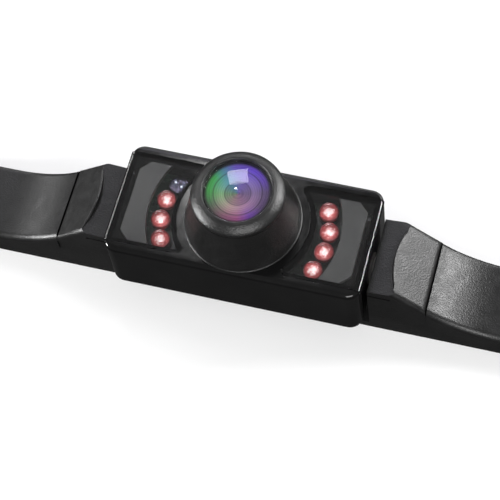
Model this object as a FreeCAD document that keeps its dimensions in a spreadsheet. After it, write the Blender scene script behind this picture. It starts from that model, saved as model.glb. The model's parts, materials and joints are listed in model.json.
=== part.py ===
import FreeCAD, Part
import math
import os
import re

import Sketcher

# Rear-view camera on a licence plate bar.
#
# Frame: millimetres, the bar lies on its mounting face with its length along X.
# +Z is the way the lens looks and +Y is up when the bar is on a vehicle. The origin
# is the middle of the mounting face. The camera head tilts about an X axis hinge.

DIMENSIONS = {
    # Bar: base plate and covers
    "bar_length": 200,
    "base_length": 199,
    "base_width": 20.2,
    "base_thickness": 2.7,
    "cover_width": 20.8,
    "cover_wall": 1.8,
    "cover_edge_radius": 1.7,
    "cap_edge_radius": 0.7,
    "end_radius": 4,
    "piece_gap": 0.1,
    "overlap": 0.1,
    "cut_margin": 1,
    # Bar: curved face, a straight slope that blends into the flat wings
    "face_slope": 40,
    "ridge_x": 41.2,
    "ridge_height": 22.7,
    "wing_height": 9,
    "blend_radius": 30,
    "seam_x": 49.2,
    # Bar: plate screw slots and the passage for the cord
    "slot_spacing": 177.8,
    "slot_width": 6.5,
    "slot_length": 12,
    "slot_rim": 1.8,
    "passage_length": 22,
    "passage_width": 9,
    # Shoulders that hold the hinge
    "shoulder_x": 34.3,
    "panel_height": 22,
    "crest_x": 39,
    "crest_radius": 22,
    "crest_top": 30,
    # Hinge
    "hinge_height": 14,
    "pin_radius": 2,
    "pin_end_x": 41.8,
    "pin_head_radius": 3,
    "pin_head_width": 1.3,
    "bush_radius": 3.5,
    "bush_clearance": 0.05,
    "bush_end_x": 42.3,
    "washer_radius": 4.1,
    "washer_bore": 2.3,
    "washer_gap": 0.1,
    # Screws
    "cap_screw_x": 39.6,
    "cap_screw_y": 6.2,
    "cap_screw_length": 15,
    "inner_wing_screw_x": 56,
    "outer_wing_screw_x": 76,
    "wing_screw_length": 5.4,
    "screw_radius": 1.1,
    "screw_hole_radius": 1.2,
    "screw_head_radius": 2,
    "screw_head_height": 1.3,
    "screw_recess_radius": 2.2,
    "screw_recess": 1.5,
    "boss_radius": 2.6,
    # Case of the camera head
    "case_width": 67,
    "case_height": 31,
    "case_back": 8.5,
    "case_split": 10.3,
    "case_front": 27.5,
    "case_wall": 2,
    "front_wall": 3,
    "case_corner_radius": 3.5,
    "case_edge_radius": 1.4,
    "case_post_x": 29.6,
    "case_post_y": 11.6,
    "case_post_radius": 2.3,
    "case_post_top": 24.4,
    "case_screw_length": 8,
    "case_screw_radius": 0.9,
    "case_screw_head_radius": 1.8,
    "case_screw_head_height": 1,
    "case_screw_recess": 1.1,
    "seal_outset": 0.5,
    "seal_width": 1,
    "seal_depth": 0.6,
    # Windows and what is behind them
    "window_radius": 17,
    "window_inner_x": 12.9,
    "window_half_height": 13,
    "window_corner": 1.5,
    "window_thickness": 1.5,
    "trough_radius": 18.4,
    "trough_half_height": 11.6,
    "trough_outer_x": 31.5,
    "mask_radius": 25,
    "mask_outer_x": 30.2,
    "mask_half_height": 11.5,
    "mask_chamfer": 2.6,
    "mask_top": 25.9,
    "mask_thickness": 1.2,
    # Lamp boards, lamps and the light sensor
    "lamp_ring_radius": 21.74,
    "lamp_pitch": 15,
    "lamp_radius": 2.5,
    "lamp_rim_radius": 2.75,
    "lamp_rim_height": 0.9,
    "lamp_body_height": 1.6,
    "lamp_board_radius": 18.6,
    "lamp_board_half_height": 11.4,
    "lamp_board_outer_x": 27,
    "lamp_board_back": 19.5,
    "lamp_board_thickness": 1.2,
    "lamp_ledge_inner_x": 23.6,
    "lamp_ledge_outer_x": 26.6,
    "lamp_ledge_y": 11,
    "ledge_step": 1.4,
    "sensor_height": 1.6,
    # Lens hood, bezel and seal
    "hood_base_radius": 15.05,
    "hood_foot_height": 0.5,
    "hood_top_radius": 11.9,
    "hood_top": 40.6,
    "hood_bore": 8.1,
    "hood_step": 33,
    "spigot_radius": 10.9,
    "spigot_bore": 9.8,
    "lens_opening": 11,
    "bezel_radius": 11.85,
    "bezel_bore": 8.7,
    "bezel_band": 1,
    "bezel_rim_radius": 9.5,
    "bezel_top": 43.6,
    "lens_seal_outer": 9,
    "lens_seal_inner": 8.4,
    "lens_seal_height": 0.7,
    # Lens
    "front_lens_radius": 8.65,
    "front_lens_flange": 9.2,
    "front_lens_edge": 42.6,
    "front_lens_top": 43.9,
    "barrel_radius": 7.9,
    "barrel_bottom": 20,
    "barrel_top": 40.4,
    "second_lens_radius": 7.2,
    "second_lens_bottom": 38.6,
    "second_lens_edge": 39.6,
    "second_lens_top": 40.2,
    "third_lens_radius": 5.2,
    "third_lens_bottom": 34.3,
    "third_lens_edge": 36.2,
    "third_lens_top": 37.6,
    "stop_bottom": 33,
    "stop_bore": 1.5,
    "rear_lens_radius": 3.8,
    "rear_lens_bottom": 26,
    "rear_lens_edge": 28.5,
    "rear_lens_top": 30,
    "barrel_bore": 2.6,
    # Circuit board, lens holder and image sensor
    "board_back": 14.9,
    "board_thickness": 1.6,
    "board_half_length": 22,
    "board_half_width": 12.5,
    "board_post_x": 11.8,
    "board_post_y": 11.2,
    "board_post_radius": 1.7,
    "board_screw_radius": 0.8,
    "board_screw_length": 5,
    "board_screw_head_radius": 1.6,
    "board_screw_head_height": 1.2,
    "holder_half_width": 9,
    "holder_base_height": 2.5,
    "holder_radius": 9.4,
    "holder_bore": 7.95,
    "holder_top": 30,
    "image_sensor_half_width": 4,
    "image_sensor_height": 1.2,
    "processor_half_width": 4.5,
    "processor_x": 12,
    "chip_height": 1.1,
    "regulator_x": -4,
    "regulator_y": 8,
    "regulator_half_length": 2.2,
    "regulator_half_width": 1.6,
    "connector_x": -13,
    "connector_half_length": 3,
    "connector_half_width": 5,
    "connector_height": 3.8,
    # Cord gland in the rear cover
    "gland_neck_radius": 3.5,
    "gland_flange_radius": 4.6,
    "gland_flange_height": 0.9,
    "gland_tip_radius": 2.7,
    "gland_tip": 5.4,
    "gland_bore": 1.6,
}

SHEET_NAME = "Dims"
ALIAS = re.compile(r"\b(" + "|".join(DIMENSIONS) + r")\b")
HEIGHT_OFFSET = "AttachmentOffset.Base.z"
TOUCH = 0.01  # how near an edge lies to a plane to count as on it
SHORTEST_EDGE = 0.3  # an edge shorter than this along the bar isn't rounded
EDGE_DEPTH = 0.5  # how far under the face its side edges may lie
CORNER_EDGE = 1  # an upright corner edge is longer than this

document = FreeCAD.newDocument("plate_bar_camera")
sub_parts = []


def make_sheet():
    """Put every driving dimension in a cell that has its name."""
    sheet = document.addObject("Spreadsheet::Sheet", SHEET_NAME)
    for row, (alias, number) in enumerate(DIMENSIONS.items(), start=1):
        sheet.set(f"A{row}", alias)
        sheet.set(f"B{row}", str(number))
        sheet.setAlias(f"B{row}", alias)
    document.recompute()
    return sheet


dims = make_sheet()


def link(formula):
    """The formula with each dimension's name pointed at its cell."""
    return ALIAS.sub(SHEET_NAME + r".\1", str(formula))


def size_of(formula):
    """The formula's present value, for the first guess of a sketch's shape."""
    return float(dims.evalExpression(link(formula)))


def bind(item, **formulas):
    """Bind properties of an object to formulas of the sheet's dimensions."""
    for prop, formula in formulas.items():
        item.setExpression(prop.replace("__", "."), link(formula))


def as_sub_part(item, label):
    """Label an object that stands for one real piece and note it for export."""
    item.Label = label
    sub_parts.append(item)
    return item


# --- Sketches and bodies -------------------------------------------------------------


class Drawing:
    """A sketch on an origin plane of a body, with all its sizes bound to the sheet."""

    def __init__(self, body, plane, height="0", shift="0"):
        self.sketch = body.newObject("Sketcher::SketchObject", "Drawing")
        planes = {item.Role: item for item in body.Origin.OriginFeatures}
        self.sketch.AttachmentSupport = [(planes[plane], "")]
        self.sketch.MapMode = "FlatFace"
        self.sketch.setExpression(HEIGHT_OFFSET, link(height))
        self.sketch.setExpression("AttachmentOffset.Base.x", link(shift))

    def _fix(self, kind, *place, formula):
        """Add one dimension to the sketch and bind it to a formula."""
        constraint = Sketcher.Constraint(kind, *place, size_of(formula))
        index = self.sketch.addConstraint(constraint)
        self.sketch.setExpression(f"Constraints[{index}]", link(formula))

    def _fix_point(self, geometry, position, x, y):
        """Hold a point of the sketch at a place measured from its origin."""
        self._fix("DistanceX", -1, 1, geometry, position, formula=x)
        self._fix("DistanceY", -1, 1, geometry, position, formula=y)

    def _add_stretch(self, corner, end):
        """Add the line or arc that leaves a corner and return it with its two ends."""
        start_point = FreeCAD.Vector(size_of(corner[0]), size_of(corner[1]), 0)
        end_point = FreeCAD.Vector(size_of(end[0]), size_of(end[1]), 0)
        if len(corner) == 2:
            line = Part.LineSegment(start_point, end_point)
            return self.sketch.addGeometry(line, False), 1, 2
        radius = size_of(corner[2])
        chord = end_point - start_point
        left = FreeCAD.Vector(-chord.y, chord.x, 0).normalize()
        inward = left if corner[3] == "left" else left * -1
        rise = radius - math.sqrt(max(radius**2 - (chord.Length / 2) ** 2, 0))
        crown = (start_point + end_point) / 2 - inward * rise
        if corner[3] == "left":
            arc = Part.Arc(start_point, crown, end_point)
            index = self.sketch.addGeometry(arc, False)
            ends = (1, 2)
        else:
            arc = Part.Arc(end_point, crown, start_point)
            index = self.sketch.addGeometry(arc, False)
            ends = (2, 1)
        self._fix("Radius", index, formula=corner[2])
        return index, *ends

    def outline(self, *corners):
        """Draw a closed outline.

        A corner is (x, y), or (x, y, radius, turn) where the stretch that leaves it is
        an arc that turns "left" or "right".
        """
        count = len(corners)
        stretches = [
            self._add_stretch(corner, corners[(place + 1) % count])
            for place, corner in enumerate(corners)
        ]
        for place, (index, _, finish) in enumerate(stretches):
            following, begin, _ = stretches[(place + 1) % count]
            joint = Sketcher.Constraint("Coincident", index, finish, following, begin)
            self.sketch.addConstraint(joint)
        for (index, begin, _), corner in zip(stretches, corners):
            self._fix_point(index, begin, corner[0], corner[1])
        return self

    def circle(self, x, y, radius):
        """Draw a circle."""
        centre = FreeCAD.Vector(size_of(x), size_of(y), 0)
        ring = Part.Circle(centre, FreeCAD.Vector(0, 0, 1), size_of(radius))
        index = self.sketch.addGeometry(ring, False)
        self._fix_point(index, 3, x, y)
        self._fix("Radius", index, formula=radius)
        return self

    def box(self, left, right, bottom, top):
        """Draw an upright rectangle."""
        return self.outline((left, bottom), (right, bottom), (right, top), (left, top))

    def rounded_box(self, half_length, half_height, radius):
        """Draw a rectangle about the origin with round corners."""
        flat = f"({half_length} - {radius})"
        rise = f"({half_height} - {radius})"
        return self.outline(
            (f"-{flat}", f"-({half_height})"),
            (flat, f"-({half_height})", radius, "left"),
            (half_length, f"-{rise}"),
            (half_length, rise, radius, "left"),
            (flat, half_height),
            (f"-{flat}", half_height, radius, "left"),
            (f"-({half_length})", rise),
            (f"-({half_length})", f"-{rise}", radius, "left"),
        )

    def slot(self, x, length, width):
        """Draw a slot with round ends along X, its centre on the X axis."""
        radius = f"({width}) / 2"
        flat = f"(({length}) - ({width})) / 2"
        return self.outline(
            (f"{x} - {flat}", f"-{radius}"),
            (f"{x} + {flat}", f"-{radius}", radius, "left"),
            (f"{x} + ({length}) / 2", "0", radius, "left"),
            (f"{x} + {flat}", radius),
            (f"{x} - {flat}", radius, radius, "left"),
            (f"{x} - ({length}) / 2", "0", radius, "left"),
        )


class Piece:
    """One real piece made as a PartDesign body."""

    def __init__(self, label, exported=True):
        self.body = document.addObject("PartDesign::Body", label)
        if exported:
            as_sub_part(self.body, label)

    def draw(self, plane="XY_Plane", height="0", shift="0"):
        """Start a sketch on one of the body's origin planes."""
        return Drawing(self.body, plane, height, shift)

    def _extrude(self, kind, drawing, length, both_ways, reverse):
        feature = self.body.newObject(kind, "Feature")
        feature.Profile = drawing.sketch
        feature.SideType = "Symmetric" if both_ways else "One side"
        feature.Reversed = reverse
        bind(feature, Length=length)
        document.recompute()
        return feature

    def pad(self, drawing, length, both_ways=False):
        """Add material along the sketch's normal."""
        return self._extrude("PartDesign::Pad", drawing, length, both_ways, False)

    def pocket(self, drawing, length, both_ways=False, along_normal=True):
        """Take material away, and make sure that the cut met the solid."""
        before = self.body.Shape.Volume
        feature = self._extrude(
            "PartDesign::Pocket", drawing, length, both_ways, along_normal
        )
        if self.body.Shape.Volume >= before:
            raise RuntimeError(f"{self.body.Label}: {feature.Name} cuts nothing")
        return feature

    def revolve(self, drawing):
        """Turn the sketch once round its own upright axis."""
        feature = self.body.newObject("PartDesign::Revolution", "Turned")
        feature.Profile = drawing.sketch
        feature.ReferenceAxis = (drawing.sketch, ["V_Axis"])
        feature.Angle = 360
        document.recompute()
        return feature

    def dress(self, kind, prop, amount, wanted):
        """Round or chamfer the edges that the test picks."""
        tip = self.body.Tip
        names = [
            f"Edge{number}"
            for number, edge in enumerate(tip.Shape.Edges, start=1)
            if wanted(edge)
        ]
        feature = self.body.newObject(kind, "Edge")
        feature.Base = (tip, names)
        bind(feature, **{prop: amount})
        document.recompute()
        return feature

    def fillet(self, radius, wanted):
        """Round the edges that the test picks."""
        return self.dress("PartDesign::Fillet", "Radius", radius, wanted)

    def repeat_round(self, feature, angle, count):
        """Repeat a feature about the Z axis."""
        axes = {item.Role: item for item in self.body.Origin.OriginFeatures}
        pattern = self.body.newObject("PartDesign::PolarPattern", "Ring")
        pattern.Originals = [feature]
        pattern.Axis = (axes["Z_Axis"], [""])
        pattern.Occurrences = count
        bind(pattern, Angle=angle)
        self.body.Tip = pattern
        document.recompute()


def other_side(piece, label, exported=True):
    """The mirror image of a right-hand piece, on the left of the bar."""
    twin = document.addObject("Part::Mirroring", label)
    twin.Source = piece.body
    twin.Normal = (1, 0, 0)
    if exported:
        as_sub_part(twin, label)
    return twin


# --- Primitives and booleans ---------------------------------------------------------


def block(name, x, y, z):
    """A plain box between two places along each axis."""
    item = document.addObject("Part::Box", name)
    for length, place, (low, high) in zip(("Length", "Width", "Height"), "xyz", (x, y, z)):
        item.setExpression(length, link(f"({high}) - ({low})"))
        item.setExpression(f"Placement.Base.{place}", link(low))
    return item


def rod(name, radius, bottom, top, x="0", y="0"):
    """A plain cylinder along Z."""
    item = document.addObject("Part::Cylinder", name)
    bind(item, Radius=radius, Height=f"({top}) - ({bottom})")
    bind(item, Placement__Base__x=x, Placement__Base__y=y, Placement__Base__z=bottom)
    return item


def side_rod(name, radius, start, end):
    """A plain cylinder along X at the height of the hinge."""
    item = document.addObject("Part::Cylinder", name)
    bind(item, Radius=radius, Height=f"({end}) - ({start})")
    turn = FreeCAD.Rotation(FreeCAD.Vector(0, 1, 0), 90)
    item.Placement = FreeCAD.Placement(FreeCAD.Vector(), turn)
    bind(item, Placement__Base__x=start, Placement__Base__z="hinge_height")
    return item


def cut(name, base, tool):
    """One solid with another taken out of it."""
    item = document.addObject("Part::Cut", name)
    item.Base = base
    item.Tool = tool
    return item


def join(name, *items):
    """Several solids as one."""
    item = document.addObject("Part::MultiFuse", name)
    item.Shapes = list(items)
    item.Refine = True
    return item


def group(name, items):
    """Several loose solids that share one node."""
    item = document.addObject("Part::Compound", name)
    item.Links = list(items)
    return item


def ring(name, radius, bore, bottom, top):
    """A plain ring about Z."""
    return cut(
        name,
        rod(name + "_outside", radius, bottom, top),
        rod(name + "_bore", bore, bottom, top),
    )


def side_ring(name, radius, bore, start, end):
    """A plain ring about the hinge axis."""
    return cut(
        name,
        side_rod(name + "_outside", radius, start, end),
        side_rod(name + "_bore", bore, start, end),
    )


def mirrored(item, label):
    """The mirror image of a primitive, on the left of the bar."""
    twin = document.addObject("Part::Mirroring", label)
    twin.Source = item
    twin.Normal = (1, 0, 0)
    return as_sub_part(twin, label)


def screw(name, x, y, head, shank):
    """A screw driven along +Z: head and shank are (radius, bottom, top)."""
    return join(
        name,
        rod(name + "_head", head[0], head[1], head[2], x, y),
        rod(name + "_shank", shank[0], shank[1], shank[2], x, y),
    )


# --- The curved face of the bar ------------------------------------------------------

BLEND_HEIGHT = "(wing_height + blend_radius * (1 - cos(face_slope)))"
BLEND_X = f"(ridge_x + (ridge_height - {BLEND_HEIGHT}) / tan(face_slope))"
FLAT_X = f"({BLEND_X} + blend_radius * sin(face_slope))"
FLANGE_DEPTH = "(wing_height - base_thickness - piece_gap)"


def slope_height(x):
    """Height of the straight slope of the face at a distance from the middle."""
    return f"(ridge_height - ({x} - ridge_x) * tan(face_slope))"


def blend_height(x):
    """Height of the round stretch of the face at a distance from the middle."""
    reach = f"({FLAT_X} - {x})"
    return f"(wing_height + blend_radius - sqrt(blend_radius^2 - {reach}^2))"


def face_outward(start, drop):
    """Corners of the face from a place on its round stretch to the flat, lowered."""
    return [
        (start, f"{blend_height(start)} - {drop}", "blend_radius", "left"),
        (FLAT_X, f"wing_height - {drop}"),
    ]


def face_inward(start, drop):
    """The same corners from the flat back to the place on the round stretch."""
    return [
        (FLAT_X, f"wing_height - {drop}", "blend_radius", "right"),
        (start, f"{blend_height(start)} - {drop}"),
    ]


# --- Bar -----------------------------------------------------------------------------

CAP_SCREWS = [("cap_screw_x", "cap_screw_y"), ("cap_screw_x", "-cap_screw_y")]
WING_SCREWS = [("inner_wing_screw_x", "0"), ("outer_wing_screw_x", "0")]


def build_base_bar():
    """Base: bridge behind the camera, two hinge saddles and two wings."""
    half = Piece("half_base", exported=False)
    profile = half.draw("XZ_Plane")
    profile.outline(
        ("0", "0"),
        ("base_length / 2", "0"),
        ("base_length / 2", "base_thickness"),
        *face_inward("seam_x", "(wing_height - base_thickness)"),
        ("seam_x", "hinge_height"),
        ("shoulder_x", "hinge_height"),
        ("shoulder_x", "base_thickness"),
        ("0", "base_thickness"),
    )
    half.pad(profile, "base_width", both_ways=True)

    half_hollow = "base_width / 2 - cover_wall"
    hollow = half.draw("XY_Plane", "base_thickness")
    hollow.box("seam_x + cover_wall", FLAT_X, f"-({half_hollow})", half_hollow)
    half.pocket(hollow, "hinge_height")

    passage = half.draw()
    passage.slot("0", "passage_length", "passage_width")
    half.pocket(passage, "base_thickness")

    slot = half.draw()
    slot.slot("slot_spacing / 2", "slot_length", "slot_width")
    half.pocket(slot, "base_thickness")

    saddle = half.draw("YZ_Plane", "shoulder_x")
    saddle.circle("0", "hinge_height", "bush_radius")
    half.pocket(saddle, "bush_end_x - shoulder_x")

    for places in (CAP_SCREWS, WING_SCREWS):
        holes = half.draw()
        recesses = half.draw()
        for x, y in places:
            holes.circle(x, y, "screw_hole_radius")
            recesses.circle(x, y, "screw_recess_radius")
        half.pocket(holes, "hinge_height")
        half.pocket(recesses, "screw_recess")

    other_half = other_side(half, "other_half_base", exported=False)
    as_sub_part(join("base_bar", half.body, other_half), "base_bar")


def is_outer_top_edge(edge):
    """Whether an edge runs along the top of a cover's side wall."""
    low = size_of("cover_width / 2") - TOUCH
    box = edge.BoundBox
    on_side = box.YMin > low or box.YMax < -low
    centre = edge.CenterOfMass
    flat_x = size_of(FLAT_X)
    face = slope_height(centre.x)
    if centre.x > flat_x:
        face = "wing_height"
    elif centre.x > size_of(BLEND_X):
        face = blend_height(centre.x)
    return on_side and box.XLength > SHORTEST_EDGE and centre.z > size_of(face) - EDGE_DEPTH


def build_wing_covers():
    """Covers of the wings, from the seam beside the shoulder out to the bar's end."""
    inner_end = "(seam_x + piece_gap)"
    cover = Piece("right_wing_cover")
    shell = cover.draw("XZ_Plane")
    shell.outline(
        *face_outward(inner_end, FLANGE_DEPTH),
        ("bar_length / 2", f"wing_height - {FLANGE_DEPTH}"),
        ("bar_length / 2", "wing_height"),
        *face_inward(inner_end, "0"),
    )
    cover.pad(shell, "cover_width", both_ways=True)

    end_x = size_of("bar_length / 2") - TOUCH
    cover.fillet("end_radius", lambda edge: edge.BoundBox.XMin > end_x
                 and edge.BoundBox.ZLength > CORNER_EDGE)
    cover.fillet("cover_edge_radius", is_outer_top_edge)

    inside = cover.draw("XZ_Plane")
    inside.outline(
        ("seam_x", "0"),
        ("bar_length / 2 - cover_wall", "0"),
        ("bar_length / 2 - cover_wall", "wing_height - cover_wall"),
        *face_inward("seam_x", "cover_wall"),
    )
    cover.pocket(inside, "cover_width - 2 * cover_wall", both_ways=True)

    boss_bottom = "base_thickness + piece_gap"
    for x, y in WING_SCREWS:
        top = "wing_height" if x.startswith("outer") else blend_height(x)
        boss = cover.draw("XY_Plane", boss_bottom)
        boss.circle(x, y, "boss_radius")
        cover.pad(boss, f"{top} - cover_wall / 2 - ({boss_bottom})")
        pilot = cover.draw("XY_Plane", boss_bottom)
        pilot.circle(x, y, "screw_radius")
        cover.pocket(pilot, "wing_screw_length - screw_head_height")

    rim = cover.draw("XY_Plane", boss_bottom)
    rim.slot("slot_spacing / 2", "slot_length + 2 * slot_rim", "slot_width + 2 * slot_rim")
    cover.pad(rim, f"wing_height - cover_wall / 2 - ({boss_bottom})")
    slot = cover.draw()
    slot.slot("slot_spacing / 2", "slot_length", "slot_width")
    cover.pocket(slot, "wing_height + cut_margin")
    other_side(cover, "left_wing_cover")


def build_shoulder_caps():
    """Caps that clamp the hinge bushes and carry the curved crest beside the camera."""
    cap = Piece("right_shoulder_cap")
    profile = cap.draw("XZ_Plane")
    profile.outline(
        ("shoulder_x", "hinge_height"),
        ("seam_x", "hinge_height"),
        ("seam_x", slope_height("seam_x")),
        ("ridge_x", "ridge_height"),
        ("shoulder_x", "panel_height"),
    )
    cap.pad(profile, "cover_width", both_ways=True)

    half = "cover_width / 2"
    crest_edge = f"crest_x + crest_radius - sqrt(crest_radius^2 - ({half})^2)"
    crest = cap.draw("XY_Plane", "hinge_height")
    crest.outline(
        (crest_edge, f"-({half})"),
        ("seam_x", f"-({half})"),
        ("seam_x", half),
        (crest_edge, half, "crest_radius", "left"),
    )
    cap.pad(crest, "crest_top - hinge_height")

    above = cap.draw("XZ_Plane")
    above.outline(
        ("shoulder_x", slope_height("shoulder_x")),
        ("seam_x + cut_margin", slope_height("(seam_x + cut_margin)")),
        ("seam_x + cut_margin", "crest_top + cut_margin"),
        ("shoulder_x", "crest_top + cut_margin"),
    )
    cap.pocket(above, "cover_width + cut_margin", both_ways=True)
    cap.fillet("cap_edge_radius", is_outer_top_edge)

    saddle = cap.draw("YZ_Plane", "shoulder_x")
    saddle.circle("0", "hinge_height", "bush_radius")
    cap.pocket(saddle, "bush_end_x - shoulder_x")
    pilots = cap.draw("XY_Plane", "hinge_height")
    for x, y in CAP_SCREWS:
        pilots.circle(x, y, "screw_radius")
    cap.pocket(pilots, "cap_screw_length + screw_recess - hinge_height")
    other_side(cap, "left_shoulder_cap")


def build_bar_screws():
    """Screws that hold the caps and covers, driven from behind into recesses."""
    for label, places, length in (
        ("shoulder_cap_screws", CAP_SCREWS, "cap_screw_length"),
        ("wing_cover_screws", WING_SCREWS, "wing_screw_length"),
    ):
        seat = "screw_recess - screw_head_height"
        screws = [
            screw(
                label[:-1],
                f"{side} * {x}",
                y,
                ("screw_head_radius", seat, "screw_recess"),
                ("screw_radius", "screw_recess", f"screw_recess + {length} - screw_head_height"),
            )
            for side in (1, -1)
            for x, y in places
        ]
        as_sub_part(group(label, screws), label)


def build_hinge():
    """Hinge bushes, friction washers and the pins that the camera head turns on."""
    bush = side_ring("right_hinge_bush", "bush_radius", "pin_radius + bush_clearance",
                     "shoulder_x", "bush_end_x")
    washer = side_ring("right_friction_washer", "washer_radius", "washer_bore",
                       "case_width / 2 + washer_gap", "shoulder_x")
    wall_inside = "(case_width / 2 - case_wall)"
    pin = join(
        "right_hinge_pin",
        side_rod("pin_head", "pin_head_radius", f"{wall_inside} - pin_head_width", wall_inside),
        side_rod("pin_shank", "pin_radius", wall_inside, "pin_end_x"),
    )
    for item in (bush, washer, pin):
        as_sub_part(item, item.Name)
        mirrored(item, item.Name.replace("right", "left"))


# --- Case of the camera head ---------------------------------------------------------

CORNERS = [(x, y) for x in (1, -1) for y in (1, -1)]
HALF_WIDTH = "case_width / 2"
HALF_HEIGHT = "case_height / 2"
RECESS_FLOOR = "(case_front - window_thickness)"
WALL_INSIDE = "(case_front - front_wall)"


def window_outline(drawing, side, inset, outer):
    """Outline of a window on one side, inset from the edge of its recess."""
    inner = f"(window_inner_x + {inset})"
    top = f"(window_half_height - {inset})"
    arc = f"(window_radius + {inset})"
    arc_top = f"sqrt({arc}^2 - {inner}^2)"
    turned, straight = ("left", "right") if side > 0 else ("right", "left")
    drawing.outline(
        (f"{side} * ({inner} + window_corner)", f"-{top}"),
        (f"{side} * ({outer})", f"-{top}"),
        (f"{side} * ({outer})", top),
        (f"{side} * ({inner} + window_corner)", top, "window_corner", turned),
        (f"{side} * {inner}", f"{top} - window_corner"),
        (f"{side} * {inner}", arc_top, arc, straight),
        (f"{side} * {inner}", f"-{arc_top}"),
        (f"{side} * {inner}", f"-({top} - window_corner)", "window_corner", turned),
    )


def sector_outline(drawing, side, radius, half_height, outer, chamfer=None):
    """Outline between an arc about the lens and an upright outer edge."""
    corner = f"{side} * sqrt({radius}^2 - {half_height}^2)"
    edge = f"{side} * {outer}"
    turn = "right" if side > 0 else "left"
    if chamfer is None:
        outer_corners = [(edge, f"-{half_height}"), (edge, half_height)]
    else:
        near_edge = f"{side} * ({outer} - {chamfer})"
        outer_corners = [
            (near_edge, f"-{half_height}"),
            (edge, f"-({half_height} - {chamfer})"),
            (edge, f"{half_height} - {chamfer}"),
            (near_edge, half_height),
        ]
    drawing.outline(
        (corner, f"-{half_height}"),
        *outer_corners,
        (corner, half_height, radius, turn),
    )


def build_front_case():
    """Front case: a deep shell with the lens opening and two window recesses."""
    case = Piece("front_case")
    outside = case.draw("XY_Plane", "case_split")
    outside.rounded_box(HALF_WIDTH, HALF_HEIGHT, "case_corner_radius")
    case.pad(outside, "case_front - case_split")
    front = size_of("case_front") - TOUCH
    case.fillet("case_edge_radius", lambda edge: edge.BoundBox.ZMin > front)

    inside = case.draw("XY_Plane", "case_split")
    inside.rounded_box(
        f"({HALF_WIDTH} - case_wall)",
        f"({HALF_HEIGHT} - case_wall)",
        "(case_corner_radius - case_wall)",
    )
    case.pocket(inside, f"{WALL_INSIDE} - case_split")

    posts = case.draw("XY_Plane", "case_split")
    for x, y in CORNERS:
        posts.circle(f"{x} * case_post_x", f"{y} * case_post_y", "case_post_radius")
    case.pad(posts, "case_post_top - case_split")
    board_posts = case.draw("XY_Plane", "board_back + board_thickness")
    for x, y in CORNERS:
        board_posts.circle(f"{x} * board_post_x", f"{y} * board_post_y", "board_post_radius")
    case.pad(board_posts, f"{WALL_INSIDE} + overlap - board_back - board_thickness")
    ledges = case.draw("XY_Plane", "lamp_board_back + lamp_board_thickness")
    for x, y in CORNERS:
        ledges.box(
            f"{x} * lamp_ledge_inner_x",
            f"{x} * lamp_ledge_outer_x",
            f"{y} * lamp_ledge_y",
            f"{y} * ({HALF_HEIGHT} - case_wall + overlap)",
        )
    case.pad(ledges, f"{WALL_INSIDE} - ledge_step - lamp_board_back - lamp_board_thickness")

    recess = case.draw("XY_Plane", RECESS_FLOOR)
    trough = case.draw("XY_Plane", WALL_INSIDE)
    for side in (1, -1):
        window_outline(recess, side, "0", f"{HALF_WIDTH} + cut_margin")
        sector_outline(trough, side, "trough_radius", "trough_half_height", "trough_outer_x")
    case.pocket(recess, "window_thickness + cut_margin")
    case.pocket(trough, "front_wall")
    opening = case.draw("XY_Plane", WALL_INSIDE)
    opening.circle("0", "0", "lens_opening")
    case.pocket(opening, "front_wall")

    pin_holes = case.draw("YZ_Plane")
    pin_holes.circle("0", "hinge_height", "pin_radius")
    case.pocket(pin_holes, "case_width + cut_margin", both_ways=True)

    pilots = case.draw("XY_Plane", "case_split")
    board_pilots = case.draw("XY_Plane", "board_back + board_thickness")
    for x, y in CORNERS:
        pilots.circle(f"{x} * case_post_x", f"{y} * case_post_y", "case_screw_radius")
        board_pilots.circle(f"{x} * board_post_x", f"{y} * board_post_y", "board_screw_radius")
    case.pocket(pilots, "case_screw_length")
    case.pocket(board_pilots, "board_screw_length")


def build_rear_cover():
    """Rear cover with screw recesses, a seal groove and the gland's hole."""
    cover = Piece("rear_cover")
    plate = cover.draw("XY_Plane", "case_back")
    plate.rounded_box(HALF_WIDTH, HALF_HEIGHT, "case_corner_radius")
    cover.pad(plate, "case_split - case_back")
    back = size_of("case_back") + TOUCH
    cover.fillet("(case_split - case_back) / 2", lambda edge: edge.BoundBox.ZMax < back)

    groove = cover.draw("XY_Plane", "case_split")
    seal_outline(groove)
    cover.pocket(groove, "seal_depth", along_normal=False)
    holes = cover.draw("XY_Plane", "case_back")
    recesses = cover.draw("XY_Plane", "case_back")
    for x, y in CORNERS:
        place = (f"{x} * case_post_x", f"{y} * case_post_y")
        holes.circle(*place, "case_screw_radius")
        recesses.circle(*place, "case_screw_head_radius")
    holes.circle("0", "0", "gland_neck_radius")
    cover.pocket(holes, "case_split - case_back")
    cover.pocket(recesses, "case_screw_recess")


def seal_outline(drawing):
    """Two nested outlines of the case seal."""
    for inset in ("seal_outset", "(seal_outset + seal_width)"):
        drawing.rounded_box(
            f"({HALF_WIDTH} - {inset})",
            f"({HALF_HEIGHT} - {inset})",
            f"(case_corner_radius - {inset})",
        )


def build_case_seal():
    """Rubber seal in the rear cover's groove."""
    seal = Piece("case_seal")
    outline = seal.draw("XY_Plane", "case_split - seal_depth")
    seal_outline(outline)
    seal.pad(outline, "seal_depth")


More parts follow.
